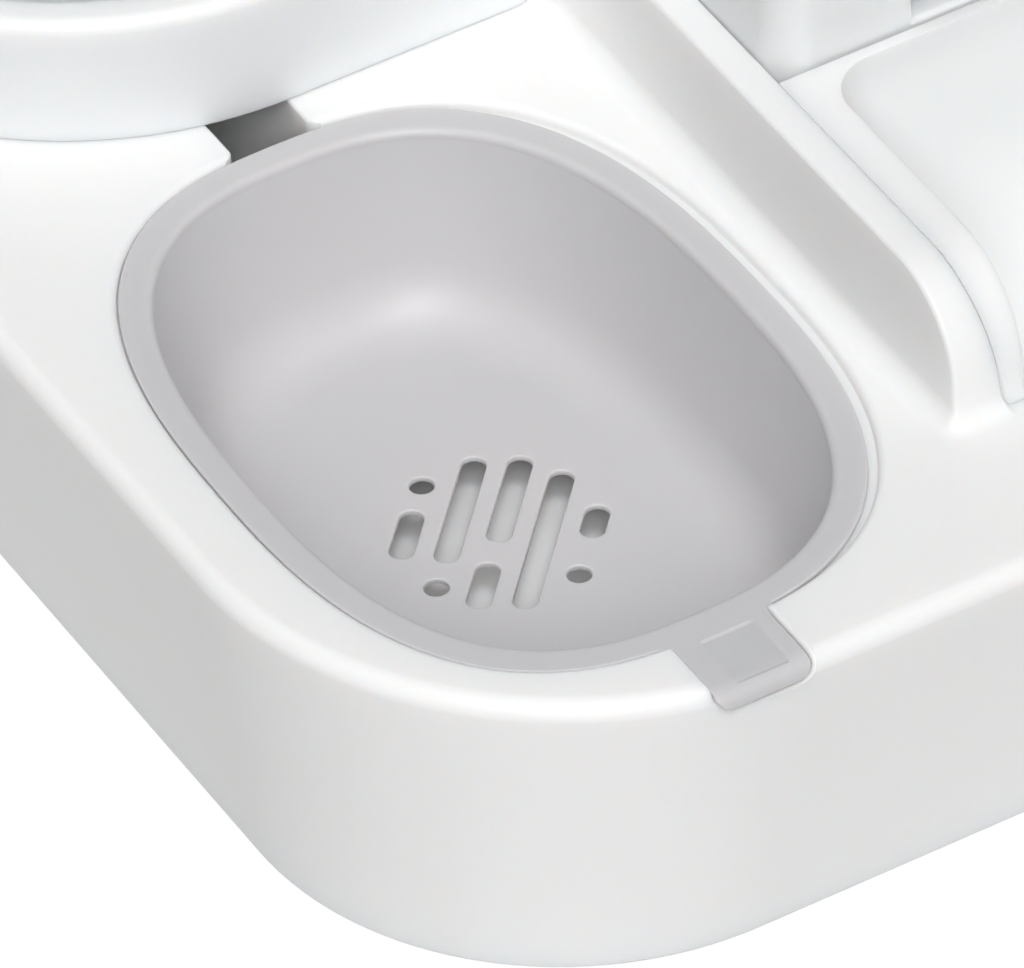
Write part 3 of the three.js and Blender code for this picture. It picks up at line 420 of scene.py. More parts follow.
def make_piece(name, points, faces):
    mesh = bpy.data.meshes.new(name)
    mesh.from_pydata([Vector(point) * MM for point in points], [], faces)
    shape = bmesh.new()
    shape.from_mesh(mesh)
    bmesh.ops.remove_doubles(shape, verts=shape.verts, dist=WELD_DISTANCE)
    bmesh.ops.recalc_face_normals(shape, faces=shape.faces)
    shape.to_mesh(mesh)
    shape.free()
    piece = bpy.data.objects.new(name, mesh)
    bpy.context.scene.collection.objects.link(piece)
    return piece


def loft(name, rings, looped=False):
    """Skins rings of equal counts, listed from the bottom up; looped rings come back to the first."""
    count, levels = len(rings[0]), len(rings)
    faces = []
    for level in range(levels if looped else levels - 1):
        lower, upper = level * count, (level + 1) % levels * count
        for i in range(count):
            j = (i + 1) % count
            faces.append((lower + i, lower + j, upper + j, upper + i))
    if not looped:
        faces.append(tuple(reversed(range(count))))
        faces.append(tuple(range((levels - 1) * count, levels * count)))
    return make_piece(name, [point for ring in rings for point in ring], faces)


def turned(name, x, y, profile, steps=ARC_STEPS, looped=False):
    """A profile of (radius, height) points turned about an upright axis, from the bottom up."""
    return loft(name, [round_ring(x, y, radius, z, steps) for radius, z in profile], looped)


def across_x(name, outline, from_x, to_x):
    """An outline in (y, z) made solid between two x places."""
    return loft(name, [[(x, y, z) for y, z in outline] for x in (from_x, to_x)])


def tidy_modifiers(piece):
    graph = bpy.context.evaluated_depsgraph_get()
    made = bpy.data.meshes.new_from_object(piece.evaluated_get(graph))
    piece.modifiers.clear()
    worn = piece.data
    piece.data = made
    bpy.data.meshes.remove(worn)


def combine(piece, operation, tools):
    for tool in tools:
        step = piece.modifiers.new("combine", "BOOLEAN")
        step.operation = operation
        step.solver = "MANIFOLD"
        step.object = tool
        tidy_modifiers(piece)
        bpy.data.objects.remove(tool)
    return piece


def cut(piece, *tools):
    return combine(piece, "DIFFERENCE", tools)


def joined(piece, *others):
    return combine(piece, "UNION", others)


def common(piece, *others):
    return combine(piece, "INTERSECT", others)


def flared(ring_at, foot_z, mouth_z, edge):
    """Rings of a cutter whose mouth opens in a rounded edge. ring_at(grow, z) gives each ring."""
    rings = [ring_at(0, foot_z)]
    for inset, rise in rounded_edge(edge):
        rings.append(ring_at(inset, mouth_z - edge + rise + SKIM))
    rings.append(ring_at(edge, mouth_z + OVERRUN))
    return rings


# Shaders

satin = Sizes(
    cloud_scale=11, cloud_stops=((0.35, 0), (0.65, 1)), cloud_change=0.06, spark_scale=2400,
    spark_roughness=0.65, spark_depth=0.00006, spark_change=0.16, wave_scale=70, wave_strength=0.12,
    wave_depth=0.0004, milkiness=0.6, milk_tint=(1, 0.82, 0.7),
)
blown = Sizes(
    stretch=(1, 1, 0.25), ripple_scale=45, ripple_strength=0.25, ripple_depth=0.0006, haze_scale=160,
    haze_change=0.05, ior=1.49, clearness=0.94,
)
dusty = Sizes(dust_scale=420, dust_change=0.2, grain_scale=3200, grain_strength=0.35, grain_depth=0.0001)
drawn = Sizes(
    stretch=(1, 1, 12), mark_scale=900, mark_strength=0.2, mark_depth=0.00005, mark_change=0.22,
    stain_scale=260,
)


class Wire:
    """An output socket, so that shader maths reads as an expression."""

    def __init__(self, finish, socket):
        self.finish, self.socket = finish, socket

    def maths(self, operation, first, second):
        return self.finish.node("Math", {"operation": operation}, {0: first, 1: second})

    def __add__(self, other):
        return self.maths("ADD", self, other)

    def __radd__(self, other):
        return self.maths("ADD", other, self)

    def __sub__(self, other):
        return self.maths("SUBTRACT", self, other)

    def __rsub__(self, other):
        return self.maths("SUBTRACT", other, self)

    def __mul__(self, other):
        return self.maths("MULTIPLY", self, other)

    def __rmul__(self, other):
        return self.maths("MULTIPLY", other, self)


class Finish:
    """A node tree under construction, for a material or for the world."""

    def __init__(self, owner, output):
        owner.use_nodes = True
        self.owner, self.tree = owner, owner.node_tree
        self.tree.nodes.clear()
        self.output = self.tree.nodes.new(output)

    def node(self, kind, settings=None, values=None, out=0):
        """Adds a node: its settings first, then the values or wires of its sockets."""
        made = self.tree.nodes.new("ShaderNode" + kind)
        for name, value in (settings or {}).items():
            if name == "stops":
                self.set_stops(made.color_ramp, value)
            else:
                setattr(made, name, value)
        for socket, value in (values or {}).items():
            if isinstance(value, Wire):
                self.tree.links.new(value.socket, made.inputs[socket])
            else:
                made.inputs[socket].default_value = value
        return Wire(self, made.outputs[out])

    @staticmethod
    def set_stops(ramp, stops):
        while len(ramp.elements) < len(stops):
            ramp.elements.new(1)
        for element, (place, grey) in zip(ramp.elements, stops):
            element.position = place
            element.color = (grey, grey, grey, 1)

    def mix(self, first, second, share):
        """Two colours mixed by a share."""
        return self.node("Mix", {"data_type": "RGBA"}, {0: share, 6: first, 7: second}, out=2)

    def blotches(self, scale, detail=2, roughness=0.5, stretch=None):
        """Soft blotches from 0 to 1, at a scale of so many to the metre."""
        place = self.node("TexCoord", {}, {}, out=3)
        if stretch:
            place = self.node("Mapping", {}, {"Vector": place, "Scale": stretch})
        values = {"Vector": place, "Scale": scale, "Detail": detail, "Roughness": roughness}
        return self.node("TexNoise", {}, values)

    def bump(self, strength, distance, height, **under):
        """A relief of a depth in metres, over another one where Normal names it."""
        values = {"Strength": strength, "Distance": distance, "Height": height, **under}
        return self.node("Bump", {}, values)

    def skin(self, values):
        return self.close(self.node("BsdfPrincipled", {}, values))

    def close(self, wire):
        self.tree.links.new(wire.socket, self.output.inputs["Surface"])
        return self.owner


def new_material(name):
    return Finish(bpy.data.materials.new(name), "ShaderNodeOutputMaterial")


def moulded_plastic(name, pale, deep, roughness, grain, reach):
    """Satin moulded plastic: a fine spark-eroded grain over a very slight waviness, a little milky."""
    finish = new_material(name)
    cloud = finish.blotches(satin.cloud_scale, 3)
    spark = finish.blotches(satin.spark_scale, 4, satin.spark_roughness)
    wave = finish.blotches(satin.wave_scale, 1)
    share = finish.node("ValToRGB", {"stops": satin.cloud_stops}, {0: cloud})
    fine = finish.bump(grain, satin.spark_depth, spark)
    return finish.skin({
        "Base Color": finish.mix(deep, pale, share),
        "Roughness": roughness + (spark - 0.5) * satin.spark_change + (cloud - 0.5) * satin.cloud_change,
        "Subsurface Weight": satin.milkiness,
        "Subsurface Radius": satin.milk_tint,
        "Subsurface Scale": reach,
        "Normal": finish.bump(satin.wave_strength, satin.wave_depth, wave, Normal=fine),
    })


def clear_plastic(name, tint, roughness):
    """Clear blow-moulded plastic with faint flow ripples."""
    finish = new_material(name)
    ripple = finish.blotches(blown.ripple_scale, 2, stretch=blown.stretch)
    return finish.skin({
        "Base Color": tint,
        "Roughness": roughness + finish.blotches(blown.haze_scale, 3) * blown.haze_change,
        "IOR": blown.ior,
        "Transmission Weight": blown.clearness,
        "Normal": finish.bump(blown.ripple_strength, blown.ripple_depth, ripple),
    })


def soft_rubber(name, pale, deep, roughness, sheen):
    """Matte rubber with a dusty grain."""
    finish = new_material(name)
    dust = finish.blotches(dusty.dust_scale, 4)
    return finish.skin({
        "Base Color": finish.mix(deep, pale, dust),
        "Roughness": roughness + (dust - 0.5) * dusty.dust_change,
        "Sheen Weight": sheen,
        "Normal": finish.bump(dusty.grain_strength, dusty.grain_depth, finish.blotches(dusty.grain_scale)),
    })


def drawn_steel(name, pale, deep, roughness):
    """Bright steel with fine drawing marks."""
    finish = new_material(name)
    marks = finish.blotches(drawn.mark_scale, 4, stretch=drawn.stretch)
    return finish.skin({
        "Base Color": finish.mix(deep, pale, finish.blotches(drawn.stain_scale, 3)),
        "Metallic": 1,
        "Roughness": roughness + (marks - 0.5) * drawn.mark_change,
        "Normal": finish.bump(drawn.mark_strength, drawn.mark_depth, marks),
    })


def shade(red, green, blue):
    return (red, green, blue, 1)


FINISHES = {
    "white_plastic": moulded_plastic(
        "satin white plastic", shade(0.9, 0.9, 0.897), shade(0.885, 0.885, 0.882), 0.42, 0.12, 0.006),
    "grey_plastic": moulded_plastic(
        "satin grey plastic", shade(0.612, 0.598, 0.61), shade(0.596, 0.582, 0.594), 0.46, 0.16, 0.004),
    "clear_plastic": clear_plastic("clear plastic", shade(0.93, 0.955, 0.97), 0.04),
    "rubber": soft_rubber("grey rubber", shade(0.26, 0.26, 0.265), shade(0.2, 0.2, 0.205), 0.78, 0.2),
    "silicone": soft_rubber("milky silicone", shade(0.78, 0.77, 0.74), shade(0.72, 0.71, 0.68), 0.5, 0.1),
    "steel": drawn_steel("drawn steel", shade(0.62, 0.625, 0.635), shade(0.5, 0.505, 0.515), 0.28),
}


def dress(piece, body, node, slot):
    """Gives a piece its finish, hangs it on its body's empty, hides the CAD part it stands for, and gives it
    shading that follows its faces.
    """
    piece.data.materials.clear()
    piece.data.materials.append(FINISHES[slot])
    piece.data.shade_smooth()
    piece.data.set_sharp_from_angle(angle=radians(SHARP_ANGLE))
    step = piece.modifiers.new("even shading", "WEIGHTED_NORMAL")
    step.keep_sharp = True
    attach(piece, body)
    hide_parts(node)


# Base moulding


def cheek_walls():
    """The wall round the food bay: one band that rises at the front, runs back along the left side,
    across the back and forward again, with a fillet where its outside meets the deck."""
    edge, nose = cheek.edge, cheek.nose_radius
    corner = Vector((BAY_LEFT + cheek.back_radius, BAY_BACK - cheek.back_radius, CHEEK_TOP - edge))
    outer_radius = cheek.back_radius + cheek.thickness
    half = []
    for angle in quarter(2 * EDGE_STEPS):
        y = CHEEK_FRONT + nose - (nose - edge) * cos(angle)
        z = CHEEK_TOP - nose + (nose - edge) * sin(angle)
        lean = Vector((0, -cos(angle), sin(angle)))
        half.append((Vector((CHEEK_LEFT, y, z)), Vector((1, 0, 0)), lean))
    for turn in quarter(ARC_STEPS):
        out = Vector((cos(pi - turn), sin(pi - turn), 0))
        half.append((corner + outer_radius * out, -out, Vector((0, 0, 1))))
    other_half = [
        (Vector((2 * BAY_X - p.x, p.y, p.z)), Vector((-side.x, side.y, 0)), lean)
        for p, side, lean in reversed(half)
    ]
    stations = half + other_half
    fillet = [(cheek.foot_fillet, TOP - 2 * base.wall / 3), (cheek.foot_fillet, TOP - SKIM)]
    fillet += [(off, TOP + rise) for off, rise in hollow_edge(cheek.foot_fillet, cheek.foot_fillet)[1:]]

    def thickness(z):
        return cheek.thickness + cheek.draft * (CHEEK_TOP - z) / cheek.height

    def section(place, side, lean, off=0):
        """The wall's outline at a station. Near the deck it is grown by the fillet, which fades at
        the bay's side."""
        points = []
        for angle, (inset, rise) in zip(quarter(), rounded_edge(edge)):
            out = lean * sin(angle) - side * cos(angle)
            points.append(place + side * inset + lean * rise + out * off)
        for angle, (inset, rise) in reversed(list(zip(quarter(), rounded_edge(cheek.inner_edge)))):
            out = lean * sin(angle) + side * cos(angle)
            spot = place + lean * (rise + edge - cheek.inner_edge)
            points.append(spot + side * (thickness(spot.z) - inset) + out * off * sin(angle) ** 2)
        return points + [place + side * thickness(place.z)]

    def foot_section(station, off, z):
        return section(Vector((*station[0].xy, z)), station[1], Vector((0, -1, 0)), off)

    points = []

    def keep(new_points):
        start = len(points)
        points.extend(new_points)
        return list(range(start, len(points)))

    rows = [keep(foot_section(stations[0], off, z)) for off, z in fillet]
    rows += [keep(section(*station)) for station in stations]
    rows += [keep(foot_section(stations[-1], off, z)) for off, z in reversed(fillet)]
    faces = []
    for here, there in zip(rows, rows[1:]):
        faces += [(here[i], here[i + 1], there[i + 1], there[i]) for i in range(len(here) - 1)]
    faces += [tuple(rows[0]), tuple(rows[-1])]
    outer = [keep([Vector((*(p - side * off).xy, z)) for off, z in fillet]) for p, side, _ in stations]
    inner = [keep([Vector((*(p + side * thickness(z)).xy, z)) for _, z in fillet])
             for p, side, _ in stations]
    tops = rows[len(fillet):len(fillet) + len(stations)]
    for k in range(len(stations) - 1):
        for wall, top_index in ((outer, 0), (inner, -1)):
            a = wall[k] + [tops[k][top_index]]
            b = wall[k + 1] + [tops[k + 1][top_index]]
            faces += [(a[i], b[i], b[i + 1], a[i + 1]) for i in range(len(a) - 1)]
        faces.append((outer[k][0], outer[k + 1][0], inner[k + 1][0], inner[k][0]))
    return make_piece("cheek_walls", points, faces)


def tab_path():
    """The finger tab's upper face from root to tip: its (y, z) places and the length run at each."""
    level = TOP - tray.rim_depth
    start = FRONT + basin.front_margin + tray.rim_width
    bend_y = FRONT + tab.front_inset
    straight_end = bend_y + tab.bend_run
    line = [(lerp(start, straight_end, share), level) for share in along(3 * EDGE_STEPS)]
    line += curve((straight_end, level), (bend_y, level), (bend_y, level - tab.bend_drop))[1:]
    lengths = [0]
    for (y0, z0), (y1, z1) in zip(line, line[1:]):
        lengths.append(lengths[-1] + hypot(y1 - y0, z1 - z0))
    return line, lengths


def tab_points(spot, out, ring, middle=CELL_X):
    """A ring of (across, off the tab's face) points set at a place on the tab's line."""
    return [(middle + x, (spot + out * off).y, (spot + out * off).z) for x, off in ring]


def tab_place(path, distance):
    """The place at a distance from the tab's root, and the way out of its upper face there."""
    line, lengths = path
    span = 1
    while span < len(line) - 1 and lengths[span] < distance:
        span += 1
    (y0, z0), (y1, z1) = line[span - 1], line[span]
    run = Vector((0, y1 - y0, z1 - z0)).normalized()
    return Vector((0, y0, z0)) + run * (distance - lengths[span - 1]), Vector((0, run.z, -run.y))


def cut_back(radius, left):
    """How far a round corner has drawn a side in, where so much is left to its end."""
    near = min(max(radius - left, 0), radius)
    return radius - sqrt(radius ** 2 - near ** 2)


def tip_marks(total, radius):
    """Distances along a tongue, closer together where its tip is rounded."""
    marks = [mark for mark in (total * share for share in along(TONGUE_STEPS)) if mark < total - radius]
    return marks + [total - radius * (1 - sin(angle)) for angle in quarter(3 * EDGE_STEPS)]


def tab_notch():
    """Cutter for the notch that the finger tab lies in. It is cut square to the tab's own line, its
    edges are rounded where they leave the base, and it ends just under the tab's tip."""
    path = tab_path()
    total = path[1][-1] + tab.notch_end
    radius = tab.corner_radius + tab.notch_end
    full = tab.width / 2 + tab.notch_side
    depth = tray.thickness + gap.slide
    rings = []
    for mark in tip_marks(total, radius):
        spot, out = tab_place(path, mark)
        half = full - cut_back(radius, total - mark)
        bent = -out.y
        cover = lerp(tray.rim_depth, tab.front_inset, bent)
        edge = lerp(tab.notch_edge, tab.front_inset, bent)
        side = [(half, -depth)]
        side += [(half + inset, cover - edge + rise + SKIM) for inset, rise in rounded_edge(edge)]
        side.append((half + edge, cover + OVERRUN))
        rings.append(tab_points(spot, out, mirrored(side)))
    return loft("tab_notch", rings)


def channel_ring(grow, z):
    """The water channel's outline, whose sides open in a round corner where they meet the cell."""
    side, fillet = channel.width / 2 + grow, channel.mouth_fillet - grow
    mouth_y = CELL_Y + basin.half_length
    front = [(side + off, mouth_y + run) for off, run in hollow_edge(fillet, fillet)]
    right = [(front[0][0], CELL_Y), *front, (side, DOCK_Y)]
    return [(CELL_X + x, y, z) for x, y in mirrored(right)]


def base_moulding():
    rings = [side_ring(-i, z) for i, z in round_foot(base.foot_edge, UNDERSIDE)]
    rings += [paired_ring(BASE_EDGES, i, base.front_corner_top - i, base.back_corner_top - i, z)
              for i, z in round_top(base.top_edge, TOP, 2 * EDGE_STEPS)]
    moulding = loft("base_moulding", rings)
    ledge_depth = tray.rim_depth + tray.thickness + gap.seat
    inside = basin.ledge_width + basin.draft_run
    pocket = [cell_ring(inside + run, POCKET_DEPTH - rise)
              for run, rise in hollow_edge(basin.fillet_run, basin.fillet_drop)]
    pocket.append(cell_ring(basin.ledge_width, ledge_depth))
    pocket += flared(lambda grow, z: cell_ring(-grow, TOP - z), TOP - ledge_depth, TOP, basin.mouth_edge)
    channel_cutter = loft("channel", flared(channel_ring, TOP - channel.depth, TOP, channel.edge))
    dock_rings = flared(lambda grow, z: round_ring(CELL_X, DOCK_Y, dock.radius + grow, z),
                        TOP - POCKET_DEPTH, TOP, dock.edge)
    slack = base.wall + gap.seat
    plate_seat = loft("plate_seat", [
        side_ring(-slack, UNDERSIDE - OVERRUN),
        side_ring(-slack, UNDERSIDE + plate.thickness + gap.seat),
    ])
    cut(moulding, loft("pocket", pocket), channel_cutter, loft("dock", dock_rings), tab_notch(), plate_seat)
    post_top = VALVE_SEAT - valve.tip_reach - gap.seat
    post_edge = dock.post_radius / 4
    post = turned("post", CELL_X, DOCK_Y, [
        (dock.post_radius + 2 * post_edge, TOP - POCKET_DEPTH - OVERRUN / 2),
        (dock.post_radius + post_edge, TOP - POCKET_DEPTH + post_edge),
        *[(dock.post_radius - i, z) for i, z in round_top(post_edge, post_top)],
    ], HOLE_STEPS)
    joined(moulding, cheek_walls(), post)
    well_cutter = loft("well", [well_ring(0, TOP - well.depth), well_ring(0, TOP),
                                well_ring(0, TOP + gap.seat)])
    holes = [turned("screw_hole", x, y, [
        (screw.shank_radius + gap.seat, UNDERSIDE),
        (screw.shank_radius + gap.seat, UNDERSIDE + plate.thickness + screw.length),
    ], EDGE_STEPS) for x, y in SCREW_PLACES]
    cut(moulding, well_cutter, *holes)
    dress(moulding, "base", "base_shell", "white_plastic")


def floor_plate():
    slack = base.wall + 2 * gap.seat
    rings = [side_ring(-slack - i, z) for i, z in round_foot(plate.edge, UNDERSIDE)]
    slab = loft("floor_plate", [*rings, side_ring(-slack, UNDERSIDE + plate.thickness)])
    seats = [turned("foot_seat", x, y, [
        (foot.radius + gap.seat, UNDERSIDE - OVERRUN),
        (foot.radius + gap.seat, UNDERSIDE + foot.seat_depth),
    ]) for x, y in FOOT_PLACES.values()]
    bores = [turned("counterbore", x, y, [
        (screw.head_radius + gap.slide, UNDERSIDE - OVERRUN),
        (screw.head_radius + gap.slide, UNDERSIDE + screw.counterbore),
        (screw.shank_radius + gap.seat, UNDERSIDE + screw.counterbore),
        (screw.shank_radius + gap.seat, UNDERSIDE + plate.thickness + OVERRUN),
    ], HOLE_STEPS) for x, y in SCREW_PLACES]
    cut(slab, *seats, *bores)
    dress(slab, "base", "bottom_plate", "white_plastic")


def rubber_foot(place, x, y):
    """A pressed-in foot with rings round its tread."""
    crown = foot.crown
    top = UNDERSIDE + foot.seat_depth - gap.seat
    profile = [(gap.seat, foot.groove_depth)]
    ring_width = (foot.radius - crown) / (foot.grooves + 1)
    for ring in range(foot.grooves):
        start = (ring + 0.5) * ring_width
        profile += [(start, foot.groove_depth), (start + ring_width / 4, 0),
                    (start + ring_width * 3 / 4, 0), (start + ring_width, foot.groove_depth)]
    profile += [(foot.radius - crown * 5 / 4, 0)]
    profile += [(foot.radius - crown + crown * sin(a), crown / 2 * (1 - cos(a))) for a in quarter()]
    profile += [(foot.radius, top), (gap.seat, top)]
    piece = turned(f"rubber_foot_{place}", x, y, profile, HOLE_STEPS)
    dress(piece, "base", f"foot_{place}", "rubber")


def case_screw(number, x, y):
    """A pan-head screw with a cross recess, driven up from below."""
    seat = UNDERSIDE + screw.counterbore - gap.seat
    low = seat - screw.head_height
    dome = screw.head_height / 2
    profile = [(screw.head_radius - i, z) for i, z in round_foot(dome, low)]
    profile += [(screw.head_radius, seat), (screw.shank_radius, seat),
                (screw.shank_radius, seat + screw.length - 2 * screw.shank_radius),
                (gap.seat, seat + screw.length)]
    piece = turned(f"case_screw_piece_{number}", x, y, profile, HOLE_STEPS)
    length, width = screw.cross_length / 2, screw.cross_width / 2
    recess = [loft("cross", [
        corner_ring((x - reach * share, x + reach * share, y - side * share, y + side * share),
                    (width / 2 * share,) * 4, z, CROSS_STEPS)
        for share, z in ((1, low - OVERRUN), (1, low), (screw.cross_taper, low + screw.cross_depth))
    ]) for reach, side in ((length, width), (width, length))]
    cut(piece, *recess)
    dress(piece, "base", f"case_screw_{number}", "steel")


# Drinking tray


def tray_side(grow):
    """The dish's side in (inset, depth), from the rim down: a rolled edge, a wall and a fillet."""
    start = gap.slide + tray.rim_width - grow
    roll_end = start + tray.roll_run
    wall_start = tray.rim_depth + tray.roll_drop
    floor_depth = TRAY_FLOOR_DEPTH + grow
    wall_foot = (roll_end + tray.wall_run, floor_depth - tray.fillet_drop)
    roll = curve((start, tray.rim_depth), (roll_end, tray.rim_depth), (roll_end, wall_start))
    fillet = curve(
        wall_foot,
        (wall_foot[0] + tray.fillet_run / 4, floor_depth),
        (wall_foot[0] + tray.fillet_run, floor_depth),
    )
    return roll + fillet


def drain_cutter(column, start, end):
    """A slot with round ends and a softened upper edge, laid out along the slanted pattern."""
    turn = radians(drain.angle)
    half = drain.width / 2
    floor = TOP - TRAY_FLOOR_DEPTH
    ends = (end * drain.reach - half, start * drain.reach + half)

    def ring_at(grow, z):
        ring = []
        for side, place in enumerate(ends):
            for share in along(HOLE_STEPS):
                angle = (side + share - 0.5) * pi
                u = place + (half + grow) * cos(angle)
                v = -column * drain.pitch + (half + grow) * sin(angle)
                ring.append((
                    CELL_X + u * cos(turn) - v * sin(turn),
                    CELL_Y + u * sin(turn) + v * cos(turn),
                    z,
                ))
        return ring

    return loft("drain", flared(ring_at, floor - tray.thickness - OVERRUN, floor, drain.edge))


def finger_tab():
    """A tongue of even thickness that bends down over the base's edge and ends in round corners."""
    path = tab_path()
    total = path[1][-1]
    root_y = FRONT + basin.front_margin + gap.slide
    rings = []
    half_thick = tray.thickness / 2
    for mark in tip_marks(total, tab.corner_radius):
        spot, out = tab_place(path, mark)
        width = tab.width / 2 - cut_back(tab.corner_radius, total - mark)
        width += cut_back(tab.root_fillet, root_y - spot.y)
        thin = cut_back(tab.edge, total - mark)
        corner = max(tab.edge - thin, tab.least_corner)
        section = corner_ring(
            (-width + thin, width - thin, -half_thick + thin, half_thick - thin),
            (corner,) * 4, 0, EDGE_STEPS)
        rings.append(tab_points(spot - out * half_thick, out, [point[:2] for point in section]))
    return loft("finger_tab", rings)


def finger_pad():
    """Cutter for the shallow pad on the finger tab: it follows the tab's line and its sides slope."""
    path = tab_path()
    first, last = tab.pad_start, tab.pad_start + tab.pad_length
    marks = [first + tab.pad_edge * share for share in along(EDGE_STEPS)[:-1]]
    marks += [lerp(first + tab.pad_edge, last - tab.pad_edge, share) for share in along(TONGUE_STEPS)]
    marks += [last - tab.pad_edge * (1 - share) for share in along(EDGE_STEPS)[1:]]
    rings = []
    for mark in marks:
        spot, out = tab_place(path, mark)
        inward = min(mark - first, last - mark)
        depth = tab.pad_depth * min(inward / tab.pad_edge, 1)
        half = tab.pad_width / 2 - cut_back(tab.pad_corner, inward)
        foot_half = half - tab.pad_edge * depth / tab.pad_depth
        side = [(foot_half, SKIM - depth), (half, SKIM), (half, OVERRUN)]
        rings.append(tab_points(spot, out, mirrored(side), CELL_X + tab.pad_shift))
    return loft("finger_pad", rings)


def strainer_tray():
    rim_under = tray.rim_depth + tray.thickness
    outside = [(inset, depth) for inset, depth in reversed(tray_side(tray.thickness))
               if depth > rim_under + SKIM]
    rings = [tray_ring(inset, depth) for inset, depth in outside]
    rings.append(tray_ring(outside[-1][0], rim_under))
    rings += [tray_ring(gap.slide + i, depth) for i, depth in
              reversed(round_foot(tray.rim_edge, tray.rim_depth) + round_top(tray.rim_edge, rim_under))]
    rings += [tray_ring(inset, depth) for inset, depth in tray_side(0)]
    dish = loft("strainer_dish", rings)
    joined(dish, finger_tab())
    dot_half = drain.width / drain.reach / 2
    cutters = [drain_cutter(*slot) for slot in DRAIN_SLOTS]
    cutters += [drain_cutter(column, at - dot_half, at + dot_half) for column, at in DRAIN_DOTS]
    cut(dish, finger_pad(), *cutters)
    dress(dish, "tray", "strainer_tray", "grey_plastic")


# Collar and bottle


def dock_collar():
    foot_z = TOP + gap.close
    under_roof = COLLAR_TOP - collar.seat_depth - collar.wall
    seat = COLLAR_TOP - collar.seat_depth
    ring_foot = TOP - collar.ring_drop
    outer_ring = dock.radius - collar.ring_gap
    inner_ring = outer_ring - collar.ring_wall
    rings = [collar_ring(collar.wall, foot_z)]
    rings += [collar_ring(i, z) for i, z in round_foot(collar.foot_edge, foot_z)]
    rings += [collar_ring(i, z) for i, z in round_top(collar.top_edge, COLLAR_TOP, 2 * EDGE_STEPS)]
    rings += [bottle_ring(-gap.slide - i, z)
              for i, z in reversed(round_top(collar.seat_edge, COLLAR_TOP))]
    rings.append(bottle_ring(-gap.slide, seat))
    rings += [round_ring(CELL_X, DOCK_Y, inner_ring, z) for z in (seat, ring_foot)]
    rings += [round_ring(CELL_X, DOCK_Y, outer_ring, z) for z in (ring_foot, under_roof)]
    rings.append(collar_ring(collar.wall, under_roof))
    piece = loft("raised_collar", rings, looped=True)
    dress(piece, "collar", "dock_collar", "white_plastic")


def neck_ring(radius, z):
    """A ring of the bottle's neck, with its screw thread."""
    ring = []
    share = (z - bottle.thread_foot) / (bottle.thread_top - bottle.thread_foot)
    fade = max(min(bottle.thread_fade * share, bottle.thread_fade * (1 - share), 1), 0)
    for x, y, _ in round_ring(0, 0, 1, 0):
        angle = atan2(y, x)
        phase = (z / bottle.thread_pitch - angle / (2 * pi)) * 2 * pi
        rise = bottle.thread_height * fade * max(cos(phase), 0)
        ring.append((CELL_X + (radius + rise) * x, DOCK_Y + (radius + rise) * y, z))
    return ring


def water_bottle():
    foot_z, skin = BOTTLE_FOOT, bottle.wall
    top_z = foot_z + bottle.height
    foot_edge = bottle.foot_edge

    def body_rings(thin):
        rings = [bottle_ring(off + thin, foot_z + thin + rise)
                 for off, rise in hollow_edge(foot_edge, 2 * foot_edge - thin)]
        return rings + [bottle_ring(bottle.taper + thin + i, z)
                        for i, z in round_top(bottle.top_edge - thin, top_z - thin)]

    inner = [round_ring(CELL_X, DOCK_Y, bottle.neck_radius - skin, NECK_END),
             round_ring(CELL_X, DOCK_Y, bottle.neck_radius - skin, foot_z + skin)]
    inner += body_rings(skin)
    outer = [neck_ring(bottle.neck_radius, lerp(NECK_END, bottle.thread_top + 2 * skin, share))
             for share in along(NECK_STEPS)]
    outer.append(round_ring(CELL_X, DOCK_Y, bottle.neck_radius, foot_z))
    outer += body_rings(0)
    piece = loft("water_bottle_body", list(reversed(inner)) + outer)
    dress(piece, "bottle", "water_bottle", "clear_plastic")


def bottle_cap():
    inside = bottle.neck_radius + gap.slide
    outside = inside + cap.wall
    skirt_top = CAP_INSIDE + cap.skirt_height
    edge = cap.edge

    def grip_ring(z, inset, grip):
        ring = []
        for x, y, _ in round_ring(0, 0, 1, 0, CAP_STEPS):
            ridge = max(cos(cap.grips * atan2(y, x)), 0) ** 2
            radius = outside - inset + cap.grip_radius * grip * ridge
            ring.append((CELL_X + radius * x, DOCK_Y + radius * y, z))
        return ring

    def plain(radius, z):
        return round_ring(CELL_X, DOCK_Y, radius, z, CAP_STEPS)

    rings = [plain(valve.hole_radius, VALVE_SEAT)]
    rings += [grip_ring(z, i, 0) for i, z in round_foot(edge, VALVE_SEAT)]
    fades = list(zip(along(EDGE_STEPS), quarter()))
    grip_foot, grip_top = VALVE_SEAT + 2 * edge, skirt_top - edge
    rings += [grip_ring(grip_foot + share * edge, 0, sin(angle)) for share, angle in fades]
    rings += [grip_ring(grip_top - edge + share * edge, 0, cos(angle)) for share, angle in fades]
    rings += [grip_ring(z, i, 0) for i, z in round_top(edge / 2, skirt_top)]
    rings += [plain(inside, skirt_top), plain(inside, CAP_INSIDE), plain(valve.hole_radius, CAP_INSIDE)]
    piece = loft("ribbed_cap", rings, looped=True)
    dress(piece, "cap", "bottle_cap", "grey_plastic")


def flat_ring(name, inner_radius, outer_radius, foot_z, top_z, edge):
    """A flat ring about the valve's axis with softened edges."""
    section = soft_section(outer_radius, inner_radius, foot_z, top_z, edge)
    return turned(name, CELL_X, DOCK_Y, section, looped=True)


